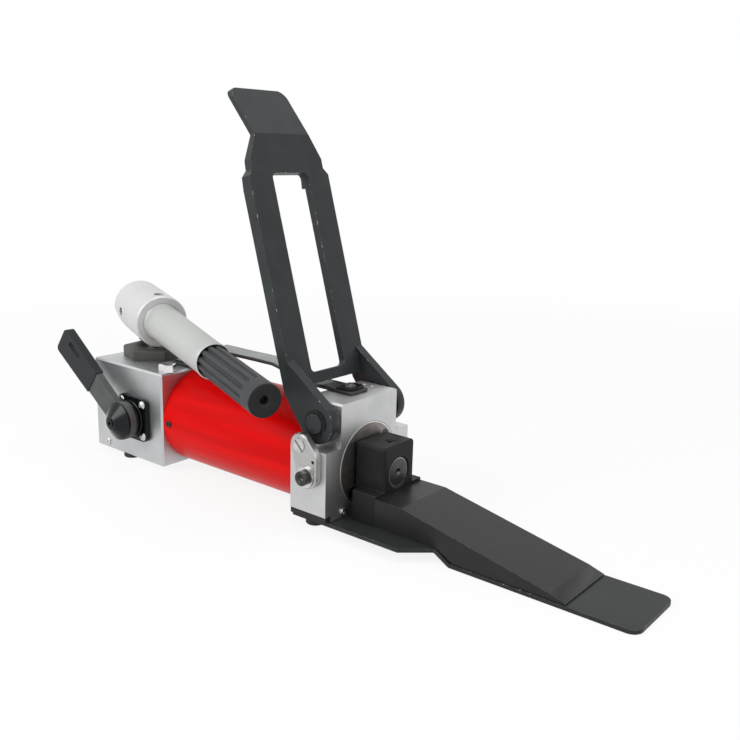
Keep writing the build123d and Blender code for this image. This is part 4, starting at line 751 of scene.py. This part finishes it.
# %% Dress the CAD nodes
FINISHES = [
    (FRONT_METAL, ["front_block"]),
    (PUMP_METAL, ["pump_block"]),
    (RED, ["reservoir_tube", "tube_end_ring"]),
    (JAW_PAINT, ["upper_jaw", "jaw_pin_right", "jaw_pin_left"]),
    (WEDGE_STEEL, ["wedge"]),
    (YOKE_STEEL, ["yoke", "jaw_clips", "yoke_screw"]),
    (PLATE_PAINT, ["base_plate"]),
    (TURRET_STEEL, ["pivot_post"]),
    (ROD_STEEL, ["piston_rod"]),
    (GLAND_STEEL, ["gland_ring"]),
    (BARREL_STEEL, ["cylinder_barrel", "piston", "pump_barrel", "handle_core", "valve_stem"]),
    (ZINC, ["base_screws", "wedge_screws", "jaw_washers", "latch_stud", "latch_washer"]),
    (ZINC, ["plunger_pin", "flange_screws", "side_plug", "face_screws"]),
    (SCREW_DARK, ["bleed_screw", "head_screw", "handle_pivot_pin", "gland_screws", "strap_screws"]),
    (CHROME, ["filler_plug", "pump_plunger"]),
    (LATCH_METAL, ["latch_plate"]),
    (HEAD_COAT, ["handle_head"]),
    (FOOT_RUBBER, ["front_feet", "rear_feet"]),
    (SEAL_RUBBER, ["piston_seal", "rod_seal", "rod_wiper", "plunger_seal", "edge_strips"]),
    (LEVER_PLASTIC, ["release_lever"]),
    (LEVER_DARK, ["lever_grip"]),
    (GLOSS_BLACK, ["valve_flange", "valve_collar", "valve_knob", "knob_screw", "strap_clamps"]),
]
SOFT_EDGE = {
    "front_block": 0.0005,
    "pump_block": 0.0003,
    "upper_jaw": 0.0008,
    "wedge": 0.0004,
    "yoke": 0.0005,
    "base_plate": 0.0004,
    "pivot_post": 0.0004,
    "latch_plate": 0.0003,
    "release_lever": 0.0006,
    "lever_grip": 0.0008,
    "valve_flange": 0.0005,
    "filler_plug": 0.0003,
    "gland_ring": 0.0003,
    "strap_clamps": 0.0003,
}
WELD_DISTANCE = 0.000002
BEVEL_ANGLE, BEVEL_SEGMENTS = np.radians(35), 2


def dress(node, material):
    """Gives a CAD node its material, and its soft edges, if it has any, as modifiers."""
    piece = nodes[node]
    piece.data.materials.clear()
    piece.data.materials.append(material)
    if node not in SOFT_EDGE:
        return
    weld = piece.modifiers.new("weld", "WELD")
    weld.merge_threshold = WELD_DISTANCE
    bevel = piece.modifiers.new("soft_edges", "BEVEL")
    bevel.width = SOFT_EDGE[node]
    bevel.segments = BEVEL_SEGMENTS
    bevel.limit_method = "ANGLE"
    bevel.angle_limit = BEVEL_ANGLE
    bevel.harden_normals = True


for material, members in FINISHES:
    for member in members:
        dress(member, material)
replaced = {"carry_strap", "handle_grip", "handle_tube", "pump_turret", "latch_screw"}
bare = sorted(set(nodes) - replaced - {member for _, members in FINISHES for member in members})
print("dressed", sum(len(members) for _, members in FINISHES), "nodes; left bare:", bare)

# %% [markdown]
# ## Floor, soft boxes, and the sky
# The picture is taken on a white sweep. A white surface lit at a plain level renders pale grey, and
# more lamps would wash out the object, so the floor is mixed with a plain glow for the rays that see it
# directly or in a reflection, and stays an ordinary floor for light and shadow. The sky does the same:
# it lights dimly, and looks white.

# %% Floor
FLOOR_HALF, FLOOR_Z, FLOOR_GREY = 6.0, -0.0002, 0.86
GLOW_NEAR, GLOW_MORE, GLOW_FADE = 0.86, 0.14, (0.55, 1.5)
WHITE = (1, 1, 1, 1)


def glowing_share(finish, share):
    """How much of the glow a ray sees: the share for camera, mirror and glass rays, none for light."""
    kinds = ("Is Camera Ray", "Is Glossy Ray", "Is Transmission Ray")
    seen = [finish.node("ShaderNodeLightPath", output=kind) for kind in kinds]
    return ((seen[0] + seen[1] + seen[2]) > 0.5) * share


def floor_material():
    """A matt grey mixed with a white glow, whose share grows to all of it far from the object."""
    grey = (FLOOR_GREY, FLOOR_GREY, FLOOR_GREY, 1.0)
    finish = Finish("pale_floor", base_color=grey, roughness=0.9)
    glow = finish.node("ShaderNodeEmission", {}, {"Color": WHITE, "Strength": 1.0})
    body = Signal(finish, finish.shader.outputs[0])
    far = finish.vector("LENGTH", finish.coords(), output=1)
    share = glowing_share(finish, far.ramp(*GLOW_FADE) * GLOW_MORE + GLOW_NEAR)
    mixed = finish.node("ShaderNodeMixShader", {}, {0: share, 1: body, 2: glow})
    output = finish.tree.nodes["Material Output"]
    finish.tree.links.new(mixed.socket, output.inputs["Surface"])
    return finish.material


floor_mesh = bpy.data.meshes.new("floor")
ends = (-FLOOR_HALF, FLOOR_HALF)
floor_corners = [(x, y, FLOOR_Z) for y in ends for x in ends]
floor_mesh.from_pydata(floor_corners, [], [(0, 1, 3, 2)])
floor = bpy.data.objects.new("floor", floor_mesh)
floor.data.materials.append(floor_material())
bpy.context.scene.collection.objects.link(floor)
print("floor", floor.dimensions[:])

# %% Sky
SKY_STRENGTH = 0.42


def studio_sky():
    """A world that is white for the rays that see it, and a dimmer light for all others."""
    world = bpy.data.worlds.new("studio")
    world.use_nodes = True
    tree = world.node_tree
    dim, plain = tree.nodes["Background"], tree.nodes.new("ShaderNodeBackground")
    dim.inputs["Strength"].default_value = SKY_STRENGTH
    for background in (dim, plain):
        background.inputs["Color"].default_value = WHITE
    path, seen = tree.nodes.new("ShaderNodeLightPath"), tree.nodes.new("ShaderNodeMath")
    seen.operation, seen.use_clamp = "ADD", True
    mixer = tree.nodes.new("ShaderNodeMixShader")
    links = [
        (path.outputs["Is Camera Ray"], seen.inputs[0]),
        (path.outputs["Is Glossy Ray"], seen.inputs[1]),
        (seen.outputs[0], mixer.inputs[0]),
        (dim.outputs[0], mixer.inputs[1]),
        (plain.outputs[0], mixer.inputs[2]),
        (mixer.outputs[0], tree.nodes["World Output"].inputs["Surface"]),
    ]
    for source, target in links:
        tree.links.new(source, target)
    return world


bpy.context.scene.world = studio_sky()
print("sky strength", SKY_STRENGTH)


# %% Soft boxes
def soft_box(name, place, aim, size, watts):
    """A square lamp at `place` that faces `aim`, `size` metres wide."""
    data = bpy.data.lights.new(name, "AREA")
    data.shape, data.size, data.energy = "SQUARE", size, watts
    lamp = bpy.data.objects.new(name, data)
    lamp.location = place
    lamp.rotation_euler = (Vector(aim) - Vector(place)).to_track_quat("-Z", "Y").to_euler()
    bpy.context.scene.collection.objects.link(lamp)
    return lamp


MIDDLE = (-0.12, 0.0, 0.08)
soft_box("key_left", (-0.75, -1.25, 0.95), MIDDLE, 0.9, 16.0)
soft_box("top", (0.1, 0.1, 1.5), MIDDLE, 1.2, 9.0)
soft_box("front_right", (1.35, -0.35, 0.75), MIDDLE, 0.8, 5.0)
bpy.context.scene.view_settings.view_transform = "Standard"
